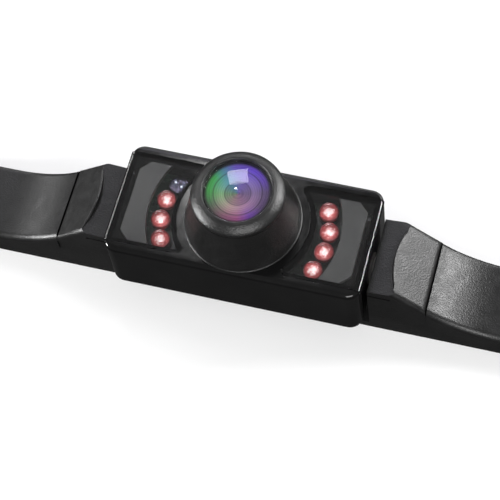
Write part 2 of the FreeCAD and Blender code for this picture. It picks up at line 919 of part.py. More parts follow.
def build_case_screws():
    """Screws that close the case from behind and hold the circuit board."""
    recess_top = "(case_back + case_screw_recess)"
    screws = [
        screw(
            "case_screw",
            f"{x} * case_post_x",
            f"{y} * case_post_y",
            ("case_screw_head_radius", f"{recess_top} - case_screw_head_height", recess_top),
            ("case_screw_radius", recess_top, "case_split + case_screw_length"),
        )
        for x, y in CORNERS
    ]
    as_sub_part(group("case_screws", screws), "case_screws")
    board_top = "(board_back + board_thickness)"
    board_screws = [
        screw(
            "board_screw",
            f"{x} * board_post_x",
            f"{y} * board_post_y",
            ("board_screw_head_radius", "board_back - board_screw_head_height", "board_back"),
            ("board_screw_radius", "board_back", f"{board_top} + board_screw_length"),
        )
        for x, y in CORNERS
    ]
    as_sub_part(group("board_screws", board_screws), "board_screws")


def build_windows():
    """Clear windows, flush with the front and with the sides of the case."""
    for label, side in (("left_window", -1), ("right_window", 1)):
        window = Piece(label)
        outline = window.draw("XY_Plane", RECESS_FLOOR)
        window_outline(outline, side, "piece_gap", HALF_WIDTH)
        window.pad(outline, "window_thickness")


def build_lamp_masks():
    """Dark plates close behind the outer part of each window."""
    for label, side in (("left_lamp_mask", -1), ("right_lamp_mask", 1)):
        mask = Piece(label)
        outline = mask.draw("XY_Plane", "mask_top - mask_thickness")
        sector_outline(outline, side, "mask_radius", "mask_half_height",
                       "mask_outer_x", "mask_chamfer")
        mask.pad(outline, "mask_thickness")


# --- Infrared lamps ------------------------------------------------------------------


def build_lamp_boards():
    """Boards that carry the lamps behind each window."""
    for label, side in (("left_lamp_board", -1), ("right_lamp_board", 1)):
        board = Piece(label)
        outline = board.draw("XY_Plane", "lamp_board_back")
        sector_outline(outline, side, "lamp_board_radius", "lamp_board_half_height",
                       "lamp_board_outer_x")
        board.pad(outline, "lamp_board_thickness")


def build_lamps(label, count, first_angle):
    """A row of round infrared lamps on an arc about the lens."""
    foot = "(lamp_board_back + lamp_board_thickness)"
    shoulder = f"{foot} + lamp_rim_height"
    spring = f"{shoulder} + lamp_body_height"
    lamps = Piece(label)
    profile = lamps.draw("XZ_Plane", "0", "lamp_ring_radius")
    profile.outline(
        ("0", foot),
        ("lamp_rim_radius", foot),
        ("lamp_rim_radius", shoulder),
        ("lamp_radius", shoulder),
        ("lamp_radius", spring, "lamp_radius", "left"),
        ("0", f"{spring} + lamp_radius"),
    )
    lamp = lamps.revolve(profile)
    lamps.repeat_round(lamp, f"{count - 1} * lamp_pitch", count)
    bind(lamps.body, Placement__Rotation__Angle=first_angle)
    lamps.body.Placement.Rotation.Axis = FreeCAD.Vector(0, 0, 1)


def build_light_sensor():
    """Round light sensor that fills the first place of the left row."""
    angle = "(180 - 1.5 * lamp_pitch)"
    foot = "(lamp_board_back + lamp_board_thickness)"
    sensor = rod("light_sensor", "lamp_radius", foot, f"{foot} + sensor_height",
                 f"lamp_ring_radius * cos({angle})", f"lamp_ring_radius * sin({angle})")
    as_sub_part(sensor, "light_sensor")


# --- Lens ----------------------------------------------------------------------------


def build_lens_hood():
    """Tapered hood with the spigot that fits the case's opening."""
    hood = Piece("lens_hood")
    profile = hood.draw("XZ_Plane")
    profile.outline(
        ("spigot_bore", WALL_INSIDE),
        ("spigot_radius", WALL_INSIDE),
        ("spigot_radius", "case_front"),
        ("hood_base_radius", "case_front"),
        ("hood_base_radius", "case_front + hood_foot_height"),
        ("hood_top_radius", "hood_top"),
        ("lens_seal_outer", "hood_top"),
        ("lens_seal_outer", "hood_top - lens_seal_height"),
        ("lens_seal_inner", "hood_top - lens_seal_height"),
        ("lens_seal_inner", "hood_top"),
        ("hood_bore", "hood_top"),
        ("hood_bore", "hood_step"),
        ("spigot_bore", "hood_step"),
    )
    hood.revolve(profile)
    seal = ring("lens_seal", "lens_seal_outer", "lens_seal_inner",
                "hood_top - lens_seal_height", "hood_top")
    as_sub_part(seal, "lens_seal")


def build_lens_bezel():
    """Bevelled ring that holds the front lens on the hood."""
    bezel = Piece("lens_bezel")
    profile = bezel.draw("XZ_Plane")
    flange_top = "hood_top + bezel_band"
    profile.outline(
        ("front_lens_flange", "hood_top"),
        ("bezel_radius", "hood_top"),
        ("bezel_radius", flange_top),
        ("bezel_rim_radius", "bezel_top"),
        ("bezel_bore", "bezel_top"),
        ("bezel_bore", flange_top),
        ("front_lens_flange", flange_top),
    )
    bezel.revolve(profile)


def build_lens(label, radius, bottom, edge, top):
    """A lens, flat behind and domed in front."""
    crown = f"(({top}) - ({edge}))"
    dome = f"(({radius})^2 + {crown}^2) / (2 * {crown})"
    lens = Piece(label)
    profile = lens.draw("XZ_Plane")
    profile.outline(
        ("0", bottom),
        (radius, bottom),
        (radius, edge, dome, "left"),
        ("0", top),
    )
    lens.revolve(profile)


def build_front_lens():
    """Domed front lens with the flange that the bezel holds."""
    crown = "(front_lens_top - front_lens_edge)"
    dome = f"(front_lens_radius^2 + {crown}^2) / (2 * {crown})"
    lens = Piece("front_lens")
    profile = lens.draw("XZ_Plane")
    profile.outline(
        ("0", "hood_top"),
        ("front_lens_flange", "hood_top"),
        ("front_lens_flange", "hood_top + bezel_band"),
        ("front_lens_radius", "hood_top + bezel_band"),
        ("front_lens_radius", "front_lens_edge", dome, "left"),
        ("0", "front_lens_top"),
    )
    lens.revolve(profile)


def build_lens_barrel():
    """Barrel with a stepped bore that seats the inner lenses and the stop."""
    barrel = Piece("lens_barrel")
    profile = barrel.draw("XZ_Plane")
    profile.outline(
        ("barrel_bore", "barrel_bottom"),
        ("barrel_radius", "barrel_bottom"),
        ("barrel_radius", "barrel_top"),
        ("second_lens_radius", "barrel_top"),
        ("second_lens_radius", "second_lens_bottom"),
        ("third_lens_radius", "second_lens_bottom"),
        ("third_lens_radius", "stop_bottom"),
        ("rear_lens_radius", "stop_bottom"),
        ("rear_lens_radius", "rear_lens_bottom"),
        ("barrel_bore", "rear_lens_bottom"),
    )
    barrel.revolve(profile)
    stop = ring("aperture_stop", "third_lens_radius", "stop_bore",
                "stop_bottom", "third_lens_bottom")
    as_sub_part(stop, "aperture_stop")


# --- Electronics ---------------------------------------------------------------------


def build_main_board():
    """Circuit board with the image sensor in front and its chips behind."""
    top = "(board_back + board_thickness)"
    board = Piece("main_board")
    outline = board.draw("XY_Plane", "board_back")
    outline.box("-board_half_length", "board_half_length", "-board_half_width",
                "board_half_width")
    for x, y in CORNERS:
        outline.circle(f"{x} * board_post_x", f"{y} * board_post_y", "board_screw_radius")
    board.pad(outline, "board_thickness")

    sensor_half = "image_sensor_half_width"
    sensor = block("image_sensor", (f"-{sensor_half}", sensor_half),
                   (f"-{sensor_half}", sensor_half), (top, f"{top} + image_sensor_height"))
    as_sub_part(sensor, "image_sensor")
    for label, x, y, half_length, half_width, height in (
        ("signal_processor", "processor_x", "0", "processor_half_width",
         "processor_half_width", "chip_height"),
        ("voltage_regulator", "regulator_x", "regulator_y", "regulator_half_length",
         "regulator_half_width", "chip_height"),
        ("cord_connector", "connector_x", "0", "connector_half_length",
         "connector_half_width", "connector_height"),
    ):
        chip = block(
            label,
            (f"{x} - {half_length}", f"{x} + {half_length}"),
            (f"{y} - {half_width}", f"{y} + {half_width}"),
            (f"board_back - {height}", "board_back"),
        )
        as_sub_part(chip, label)


def build_lens_holder():
    """Threaded holder on the board that the barrel is set in."""
    foot = "(board_back + board_thickness)"
    half = "holder_half_width"
    outside = join(
        "holder_outside",
        block("holder_base", (f"-{half}", half), (f"-{half}", half),
              (foot, f"{foot} + holder_base_height")),
        rod("holder_tube", "holder_radius", foot, "holder_top"),
    )
    holder = cut("lens_holder", outside, rod("holder_hole", "holder_bore", foot, "holder_top"))
    as_sub_part(holder, "lens_holder")


def build_cord_gland():
    """Rubber gland where the cord enters the rear cover."""
    gland = Piece("cord_gland")
    profile = gland.draw("XZ_Plane")
    profile.outline(
        ("gland_bore", "gland_tip"),
        ("gland_tip_radius", "gland_tip"),
        ("gland_neck_radius", "case_back"),
        ("gland_neck_radius", "case_split"),
        ("gland_flange_radius", "case_split"),
        ("gland_flange_radius", "case_split + gland_flange_height"),
        ("gland_bore", "case_split + gland_flange_height"),
    )
    gland.revolve(profile)


# --- Build, check and export ---------------------------------------------------------


def build_all():
    """Build every sub-part."""
    build_base_bar()
    build_wing_covers()
    build_shoulder_caps()
    build_bar_screws()
    build_hinge()
    build_front_case()
    build_rear_cover()
    build_case_seal()
    build_case_screws()
    build_windows()
    build_lamp_masks()
    build_lamp_boards()
    build_lamps("left_infrared_lamps", 3, "180 - lamp_pitch / 2")
    build_lamps("right_infrared_lamps", 4, "-1.5 * lamp_pitch")
    build_light_sensor()
    build_lens_hood()
    build_lens_bezel()
    build_front_lens()
    build_lens_barrel()
    build_lens("second_lens", "second_lens_radius", "second_lens_bottom",
               "second_lens_edge", "second_lens_top")
    build_lens("third_lens", "third_lens_radius", "third_lens_bottom", "third_lens_edge",
               "third_lens_top")
    build_lens("rear_lens", "rear_lens_radius", "rear_lens_bottom", "rear_lens_edge",
               "rear_lens_top")
    build_main_board()
    build_lens_holder()
    build_cord_gland()
    document.recompute()


def check_all():
    """Stop if any object failed or any sub-part is empty or not valid."""
    for item in document.Objects:
        if {"Invalid", "Error"} & set(item.State):
            raise RuntimeError(f"{item.Label} failed: {item.State}")
    for item in sub_parts:
        if item.Shape.isNull() or not item.Shape.isValid():
            raise RuntimeError(f"{item.Label} has no valid shape")


def export_all():
    """Write each sub-part to its own file."""
    os.makedirs("parts", exist_ok=True)
    for item in sub_parts:
        item.Shape.exportStep(f"parts/{item.Label}.step")


build_all()
check_all()
export_all()
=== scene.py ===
"""Rear-view camera on a licence plate bar: the looks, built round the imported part.

The bench works in millimetres in the part's own frame: the bar lies on its mounting
face with its length along X, +Y is up on the vehicle and +Z is the way the lens looks.
Each finished piece is brought to metres, with its object at the origin.
"""

import json
import logging
import math
from contextlib import contextmanager
from dataclasses import dataclass, field
from enum import Enum
from itertools import pairwise
from typing import Callable, Iterator, Sequence

import bmesh
import bpy
from mathutils import Matrix, Vector

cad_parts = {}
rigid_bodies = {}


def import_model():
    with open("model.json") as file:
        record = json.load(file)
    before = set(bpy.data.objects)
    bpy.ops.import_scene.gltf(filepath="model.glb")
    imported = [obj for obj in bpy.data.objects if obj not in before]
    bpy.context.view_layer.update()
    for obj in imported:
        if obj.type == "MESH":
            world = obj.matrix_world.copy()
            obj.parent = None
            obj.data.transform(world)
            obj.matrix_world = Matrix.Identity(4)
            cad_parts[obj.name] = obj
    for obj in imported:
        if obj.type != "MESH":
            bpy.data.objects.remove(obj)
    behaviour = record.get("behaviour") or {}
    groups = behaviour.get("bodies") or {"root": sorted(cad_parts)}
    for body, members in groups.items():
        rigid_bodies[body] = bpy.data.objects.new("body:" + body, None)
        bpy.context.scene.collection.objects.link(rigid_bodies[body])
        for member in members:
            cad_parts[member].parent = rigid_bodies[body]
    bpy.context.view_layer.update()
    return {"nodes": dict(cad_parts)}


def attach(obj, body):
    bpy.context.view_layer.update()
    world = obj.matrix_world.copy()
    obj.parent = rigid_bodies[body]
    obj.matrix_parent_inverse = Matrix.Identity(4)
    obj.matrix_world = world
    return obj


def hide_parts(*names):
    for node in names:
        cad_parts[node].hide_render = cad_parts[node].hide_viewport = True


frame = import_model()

log = logging.getLogger("plate_bar_camera")

MM = 0.001
NEAR = 0.01
WELD = 0.0005
# A face stands upright when its normal has less Z than UPRIGHT, and looks up when it
# has more than LOOKS_UP. Noise nearly always lies within NOISE_SPAN.
UPRIGHT = 0.1
LOOKS_UP = 0.6
ROUND_SIDES = 160
NOISE_SPAN = (0.3, 0.7)
# Where a colour Mix node keeps its two colours and its result.
MIX_FIRST, MIX_SECOND, MIX_RESULT = 6, 7, 2

Profile = Sequence[tuple[float, float]]
Colour = tuple[float, float, float]
Stops = Sequence[tuple[float, Colour]]
EdgeTest = Callable[[bmesh.types.BMEdge], bool]


def grey(shade: float) -> Colour:
    """A neutral colour."""
    return (shade, shade, shade)


class Side(Enum):
    """Which end of the bar a piece belongs to."""

    RIGHT = 1
    LEFT = -1

    @property
    def word(self) -> str:
        """The side's name as the part's nodes spell it."""
        return self.name.lower()


class Body(Enum):
    """The rigid bodies of the part."""

    BAR = "bar"
    HEAD = "camera_head"


class Shading(Enum):
    """How sharply two faces have to meet to show an edge, in degrees."""

    CRISP = 25
    SOFT = 40
    ROUND = 60


# --- Finishes ------------------------------------------------------------------------


class Wiring:
    """A material's nodes while they are put together."""

    def __init__(self, name: str) -> None:
        """Start an empty material.

        Args:
            name: the material's name.
        """
        self.material = bpy.data.materials.new(name)
        self.material.use_nodes = True
        self.tree = self.material.node_tree
        self.tree.nodes.clear()
        self.output = self.tree.nodes.new("ShaderNodeOutputMaterial")
        self.place = self.tree.nodes.new("ShaderNodeTexCoord").outputs["Object"]

    def add(self, kind: str, settings: dict | None = None, **inputs: object) -> bpy.types.Node:
        """Add a node and fill its inputs.

        Args:
            kind: the node's type, without its ShaderNode prefix.
            settings: properties of the node itself.
            inputs: values or sockets, by input name with spaces as underscores.

        Returns:
            The new node.
        """
        node = self.tree.nodes.new("ShaderNode" + kind)
        for name, value in (settings or {}).items():
            setattr(node, name, value)
        for name, value in inputs.items():
            self.feed(node.inputs[name.replace("_", " ")], value)
        return node

    def feed(self, socket: bpy.types.NodeSocket, value: object) -> None:
        """Link a socket to the input, or set the input to a plain value.

        Args:
            socket: the input.
            value: the socket to link, or the plain value.
        """
        if isinstance(value, bpy.types.NodeSocket):
            self.tree.links.new(value, socket)
        else:
            socket.default_value = value

    def noise(self, size: float, detail: float = 3.0) -> bpy.types.NodeSocket:
        """Noise with grains of about a size.

        Args:
            size: the grain's size in millimetres.
            detail: how many finer layers lie on it.

        Returns:
            The socket of the noise's strength, about 0.5 on average.
        """
        node = self.add("TexNoise", Vector=self.place, Scale=1 / (size * MM), Detail=detail)
        return node.outputs[0]

    def between(self, value: bpy.types.NodeSocket, low: float, high: float) -> bpy.types.NodeSocket:
        """Spread a noise over a range.

        Args:
            value: the noise.
            low: what its dark places become.
            high: what its bright places become.

        Returns:
            The spread value.
        """
        node = self.add("MapRange", Value=value)
        for name, number in zip(("From Min", "From Max", "To Min", "To Max"), (*NOISE_SPAN, low, high)):
            node.inputs[name].default_value = number
        return node.outputs[0]

    def sum(self, kind: str, first: object, second: object) -> bpy.types.NodeSocket:
        """One step of arithmetic.

        Args:
            kind: the operation.
            first: the first value or socket.
            second: the second value or socket.

        Returns:
            The result's socket.
        """
        node = self.add("Math", {"operation": kind})
        self.feed(node.inputs[0], first)
        self.feed(node.inputs[1], second)
        return node.outputs[0]

    def ramp(self, value: bpy.types.NodeSocket, stops: Stops) -> bpy.types.NodeSocket:
        """Turn a value into a colour.

        Args:
            value: what to read the ramp at.
            stops: places from 0 to 1 and their colours.

        Returns:
            The colour's socket.
        """
        node = self.add("ValToRGB", Fac=value)
        ramp = node.color_ramp
        while len(ramp.elements) < len(stops):
            ramp.elements.new(0.5)
        for element, (position, colour) in zip(ramp.elements, stops):
            element.position = position
            element.color = (*colour, 1)
        return node.outputs[0]

    def tint(self, noise: bpy.types.NodeSocket, dark: Colour, light: Colour) -> bpy.types.NodeSocket:
        """A colour that drifts between two shades with a noise."""
        return self.ramp(noise, tuple(zip(NOISE_SPAN, (dark, light))))

    def bump(self, height: bpy.types.NodeSocket, depth: float, strength: float) -> bpy.types.NodeSocket:
        """Relief from a height.

        Args:
            height: the height's socket.
            depth: the relief's depth in millimetres.
            strength: how much of it shows.

        Returns:
            The normal's socket.
        """
        return self.add("Bump", Height=height, Distance=depth * MM, Strength=strength).outputs[0]

    def blend(self, kind: str, share: object, first: object, second: object) -> bpy.types.NodeSocket:
        """Blend two colours.

        Args:
            kind: the way they are blended.
            share: how much of the second one there is.
            first: the first colour or socket.
            second: the second colour or socket.

        Returns:
            The blended colour's socket.
        """
        node = self.add("Mix", {"data_type": "RGBA", "blend_type": kind})
        self.feed(node.inputs[0], share)
        self.feed(node.inputs[MIX_FIRST], first)
        self.feed(node.inputs[MIX_SECOND], second)
        return node.outputs[MIX_RESULT]

    def finish(self, shader: bpy.types.Node) -> bpy.types.Material:
        """Join the shader to the output and hand over the material."""
        self.tree.links.new(shader.outputs[0], self.output.inputs["Surface"])
        return self.material


@dataclass(frozen=True)
class Finish:
    """A named surface that is made into a material once and then shared."""

    name: str
    slot: str

    def wire(self, wiring: Wiring) -> bpy.types.Material:
        """Put the finish's nodes together."""
        raise NotImplementedError

    def material(self) -> bpy.types.Material:
        """The finish's material, made at its first use."""
        return bpy.data.materials.get(self.name) or self.wire(Wiring(self.name))


@dataclass(frozen=True)
class Moulded(Finish):
    """Moulded plastic or rubber with a fine grain."""

    dark: Colour
    light: Colour
    roughness: tuple[float, float]
    grain: float
    depth: float
    strength: float
    specular: float = 0.5
    drift: float = 9.0
    sheen: float = 2.4

    def wire(self, wiring: Wiring) -> bpy.types.Material:
        """Grain, drifting gloss and a faint drift of shade.

        Args:
            wiring: the material's empty wiring.

        Returns:
            The finished material.
        """
        drift = wiring.noise(self.drift)
        grain = wiring.noise(self.grain)
        shader = wiring.add(
            "BsdfPrincipled",
            Base_Color=wiring.tint(drift, self.dark, self.light),
            Roughness=wiring.between(wiring.noise(self.sheen), *self.roughness),
            Normal=wiring.bump(grain, self.depth, self.strength),
            Specular_IOR_Level=self.specular,
        )
        return wiring.finish(shader)


@dataclass(frozen=True)
class Metal(Finish):
    """Plated or bare metal with fine scratches."""

    dark: Colour = (0.42, 0.43, 0.45)
    light: Colour = (0.62, 0.62, 0.63)
    roughness: tuple[float, float] = (0.2, 0.42)
    cloud: float = 1.6
    scratch: float = 0.25
    scratch_detail: float = 6.0
    depth: float = 0.01
    strength: float = 0.25

    def wire(self, wiring: Wiring) -> bpy.types.Material:
        """Uneven gloss over a metal base.

        Args:
            wiring: the material's empty wiring.

        Returns:
            The finished material.
        """
        grain = wiring.noise(self.scratch, self.scratch_detail)
        shader = wiring.add(
            "BsdfPrincipled",
            Base_Color=wiring.tint(wiring.noise(self.cloud), self.dark, self.light),
            Metallic=1.0,
            Roughness=wiring.between(grain, *self.roughness),
            Normal=wiring.bump(grain, self.depth, self.strength),
        )
        return wiring.finish(shader)


@dataclass(frozen=True)
class Clear(Finish):
    """Clear plastic or glass that lets the lamps' light through."""

    tint: Colour
    through: Colour
    ior: float
    roughness: tuple[float, float] = (0.01, 0.04)
    ripple: float = 3.0

    def wire(self, wiring: Wiring) -> bpy.types.Material:
        """Glass that steps aside for rays on their way to a lamp.

        Args:
            wiring: the material's empty wiring.

        Returns:
            The finished material.
        """
        body = wiring.add(
            "BsdfPrincipled",
            Base_Color=(*self.tint, 1),
            Transmission_Weight=1.0,
            IOR=self.ior,
            Roughness=wiring.between(wiring.noise(self.ripple), *self.roughness),
        )
        passing = wiring.add("BsdfTransparent", Color=(*self.through, 1))
        path = wiring.add("LightPath")
        mix = wiring.add("MixShader")
        wiring.feed(mix.inputs[0], path.outputs["Is Shadow Ray"])
        wiring.feed(mix.inputs[1], body.outputs[0])
        wiring.feed(mix.inputs[2], passing.outputs[0])
        return wiring.finish(mix)


@dataclass(frozen=True)
class CircuitBoard(Finish):
    """Solder mask over copper tracks."""

    mask: Colour = (0.006, 0.016, 0.010)
    track: Colour = (0.016, 0.04, 0.022)
    cell: float = 1.1
    track_edge: tuple[float, float] = (0.35, 0.42)
    roughness: tuple[float, float] = (0.25, 0.45)
    sheen: float = 0.8
    depth: float = 0.03
    strength: float = 0.3

    def wire(self, wiring: Wiring) -> bpy.types.Material:
        """Square cells stand for tracks and pads under the mask.

        Args:
            wiring: the material's empty wiring.

        Returns:
            The finished material.
        """
        cells = wiring.add(
            "TexVoronoi",
            {"distance": "MANHATTAN", "feature": "F1"},
            Vector=wiring.place,
            Scale=1 / (self.cell * MM),
        )
        shader = wiring.add(
            "BsdfPrincipled",
            Base_Color=wiring.ramp(cells.outputs[0], tuple(zip(self.track_edge, (self.track, self.mask)))),
            Roughness=wiring.between(wiring.noise(self.sheen), *self.roughness),
            Normal=wiring.bump(cells.outputs[0], self.depth, self.strength),
        )
        return wiring.finish(shader)


@dataclass(frozen=True)
class Glow(Finish):
    """A glow that fades from its top to its foot, as the lit heart of a lamp does."""

    core: Colour = (0.95, 0.80, 0.78)
    middle: Colour = (0.42, 0.09, 0.09)
    edge: Colour = (0.05, 0.004, 0.006)
    foot: float = 22.2
    top: float = 23.5
    power: float = 0.5
    grain: float = 0.5
    patchiness: float = 0.9
    fade: tuple[float, float, float] = (0.0, 0.62, 0.98)
    roughness: tuple[float, float] = (0.3, 0.5)

    def wire(self, wiring: Wiring) -> bpy.types.Material:
        """Colour by height, made uneven as the die and its wire make it.

        Args:
            wiring: the material's empty wiring.

        Returns:
            The finished material.
        """
        height = wiring.add("SeparateXYZ", Vector=wiring.place).outputs[2]
        height = wiring.sum("SUBTRACT", height, self.foot * MM)
        height = wiring.sum("DIVIDE", height, (self.top - self.foot) * MM)
        patches = wiring.noise(self.grain)
        uneven = wiring.sum("MULTIPLY", wiring.sum("SUBTRACT", patches, 0.5), self.patchiness)
        share = wiring.sum("ADD", height, uneven)
        colour = wiring.ramp(share, tuple(zip(self.fade, (self.edge, self.middle, self.core))))
        shader = wiring.add(
            "BsdfPrincipled",
            Base_Color=colour,
            Roughness=wiring.between(patches, *self.roughness),
            Emission_Color=colour,
            Emission_Strength=self.power,
        )
        return wiring.finish(shader)


@dataclass(frozen=True)
class PaintedLensReflections(Finish):
    """Painted reflections of a wide-angle lens's coatings and inner rings: the colour turns round the axis.
    """

    reach: float = 8.3
    tilt: float = 0.22
    strong: Stops = (
        (0.00, (0.07, 0.04, 0.12)),
        (0.07, (0.08, 0.03, 0.30)),
        (0.16, (0.09, 0.03, 0.46)),
        (0.27, (0.10, 0.05, 0.40)),
        (0.34, (0.04, 0.16, 0.22)),
        (0.40, (0.02, 0.26, 0.04)),
        (0.49, (0.02, 0.21, 0.03)),
        (0.57, (0.04, 0.08, 0.04)),
        (0.66, (0.13, 0.05, 0.08)),
        (0.75, (0.24, 0.04, 0.15)),
        (0.82, (0.11, 0.02, 0.30)),
        (0.90, (0.07, 0.03, 0.12)),
        (1.00, (0.07, 0.04, 0.12)),
    )
    pale: Stops = (
        (0.00, (0.15, 0.10, 0.21)),
        (0.20, (0.17, 0.12, 0.42)),
        (0.36, (0.07, 0.24, 0.30)),
        (0.50, (0.13, 0.27, 0.12)),
        (0.68, (0.30, 0.20, 0.19)),
        (0.82, (0.27, 0.14, 0.24)),
        (1.00, (0.15, 0.10, 0.21)),
    )
    # Painted light and shade of the inner lens rings: bright bands, dark rings and a dark outer edge.
    rings: Stops = (
        (0.00, (0.55, 0.5, 0.6)),
        (0.13, grey(0.8)),
        (0.15, (0.35, 0.3, 0.4)),
        (0.17, grey(0.8)),
        (0.37, grey(0.75)),
        (0.395, (0.25, 0.25, 0.3)),
        (0.42, grey(0.62)),
        (0.70, grey(0.62)),
        (0.73, (0.14, 0.14, 0.16)),
        (0.76, grey(0.68)),
        (0.90, grey(0.6)),
        (0.96, grey(0.03)),
        (1.00, grey(0.01)),
    )
    pale_reach: tuple[float, float] = (0.48, 0.84)
    heart_reach: tuple[float, float] = (0.38, 0.41)
    # Painted shade of the dark pupil at the lens's middle.
    heart_shade: Colour = (0.52, 0.48, 0.54)
    wave_pitch: float = 95.0
    wave_depth: float = 0.14
    ripple: float = 2.0
    roughness: tuple[float, float] = (0.45, 0.55)
    specular: float = 0.15
    glow: float = 0.18

    def polar(self, wiring: Wiring) -> tuple[bpy.types.NodeSocket, bpy.types.NodeSocket]:
        """Distance from the lens axis and angle round it.

        Args:
            wiring: the material's wiring.

        Returns:
            The distance as a share of the glass, and the angle as a share of a turn.
        """
        parts = wiring.add("SeparateXYZ", Vector=wiring.place)
        across, along = parts.outputs[0], parts.outputs[1]
        squares = (wiring.sum("MULTIPLY", side, side) for side in (across, along))
        distance = wiring.sum("SQRT", wiring.sum("ADD", *squares), 0.0)
        radius = wiring.sum("DIVIDE", distance, self.reach * MM)
        turn = wiring.sum("SUBTRACT", wiring.sum("ARCTAN2", along, across), self.tilt)
        return radius, wiring.sum("FRACT", wiring.sum("DIVIDE", turn, 2 * math.pi), 0.0)

    def waves(self, wiring: Wiring, radius: bpy.types.NodeSocket) -> bpy.types.NodeSocket:
        """Fine rings.

        Args:
            wiring: the material's wiring.
            radius: the distance from the axis.

        Returns:
            The rings as a shade to multiply by.
        """
        wave = wiring.sum("SINE", wiring.sum("MULTIPLY", radius, self.wave_pitch), 0.0)
        wave = wiring.sum("MULTIPLY_ADD", wave, self.wave_depth)
        wave.node.inputs[2].default_value = 1 - self.wave_depth
        return wiring.add("CombineXYZ", X=wave, Y=wave, Z=wave).outputs[0]

    def wire(self, wiring: Wiring) -> bpy.types.Material:
        """Painted reflection colours by angle and painted rings by distance, both about the lens axis, with a
        faint painted glow.

        Args:
            wiring: the material's empty wiring.

        Returns:
            The finished material.
        """
        radius, turn = self.polar(wiring)
        pale = wiring.ramp(turn, self.pale)
        inward, heart = (
            wiring.ramp(radius, tuple(zip(reach, (grey(1), grey(0)))))
            for reach in (self.pale_reach, self.heart_reach)
        )
        colour = wiring.blend("MIX", inward, wiring.ramp(turn, self.strong), pale)
        # Painted shade darkens the pupil at the middle.
        core = wiring.blend("MULTIPLY", 1.0, pale, (*self.heart_shade, 1))
        colour = wiring.blend("MIX", heart, colour, core)
        for shade in (wiring.ramp(radius, self.rings), self.waves(wiring, radius)):
            colour = wiring.blend("MULTIPLY", 1.0, colour, shade)
        shader = wiring.add(
            "BsdfPrincipled",
            Base_Color=colour,
            Roughness=wiring.between(wiring.noise(self.ripple), *self.roughness),
            Specular_IOR_Level=self.specular,
            # A faint painted glow in the same colours, though the lens is no lamp.
            Emission_Color=colour,
            Emission_Strength=self.glow,
        )
        return wiring.finish(shader)


SATIN = Moulded(
    "satin_black_plastic", "satin_black", grey(0.004), grey(0.007), (0.32, 0.44), 0.42, 0.14, 0.6
)
GLOSS = Moulded(
    "gloss_black_plastic",
    "gloss_black",
    (0.0015, 0.0015, 0.0016),
    grey(0.003),
    (0.10, 0.17),
    1.4,
    0.02,
    0.15,
    0.36,
)
HOOD = Moulded(
    "hood_black_plastic", "hood_black", grey(0.003), grey(0.006), (0.28, 0.40), 0.40, 0.17, 0.7
)
MASK = Moulded(
    "grey_mask_plastic",
    "mask_grey",
    (0.013, 0.0135, 0.012),
    (0.026, 0.027, 0.024),
    (0.35, 0.5),
    0.5,
    0.02,
    0.3,
)
CHIP = Moulded(
    "chip_epoxy",
    "chip_black",
    (0.010, 0.010, 0.011),
    (0.018, 0.018, 0.019),
    (0.45, 0.6),
    0.2,
    0.02,
    0.4,
)
RUBBER = Moulded("soft_rubber", "black_rubber", grey(0.008), grey(0.014), (0.6, 0.8), 0.3, 0.03, 0.4)
BARREL = Moulded(
    "barrel_black_paint", "barrel_black", grey(0.004), grey(0.008), (0.4, 0.55), 0.3, 0.02, 0.3
)
NYLON = Moulded(
    "white_nylon",
    "nylon_white",
    (0.55, 0.54, 0.50),
    (0.66, 0.65, 0.62),
    (0.4, 0.55),
    0.5,
    0.02,
    0.25,
)
STEEL = Metal("zinc_plated_steel", "zinc_steel")
SENSOR = Metal("sensor_silicon", "sensor_face", (0.03, 0.04, 0.06), (0.10, 0.08, 0.12), (0.1, 0.2))
WINDOW = Clear("clear_window_plastic", "clear_plastic", (0.95, 0.95, 0.96), (0.85, 0.85, 0.86), 1.46)
# The pink tint of the lamps' clear epoxy is painted glow from their lit hearts.
LAMP = Clear("clear_lamp_epoxy", "lamp_clear", (1.0, 0.86, 0.86), (0.95, 0.8, 0.8), 1.5)
GLASS = Clear("ground_glass", "lens_glass", grey(1.0), (0.95, 0.95, 0.97), 1.45, (0.0, 0.01))
BOARD = CircuitBoard("solder_masked_board", "circuit_board")
LENS_REFLECTIONS = PaintedLensReflections("lens_painted_reflections", "lens_glass")
HEART = Glow("lamp_heart", "lamp_clear")
# Painted lamplight: the reflector cups are coloured dark red for the lit hearts' glow on them.
LAMPLIT_CUP = Moulded(
    "lamp_cup_painted_glow",
    "lamp_clear",
    (0.10, 0.012, 0.016),
    (0.24, 0.045, 0.05),
    (0.2, 0.35),
    0.6,
    0.02,
    0.3,
)
# Painted glints: the sensor's contacts glow, brighter at their tops, though they are no lamps.
CONTACT_GLINT = Glow(
    "sensor_contact_glint", "sensor_face", (0.8, 0.85, 0.95), (0.7, 0.75, 0.85), (0.4, 0.42, 0.5), 21.9, 22.3, 0.5
)


# --- Bench ---------------------------------------------------------------------------


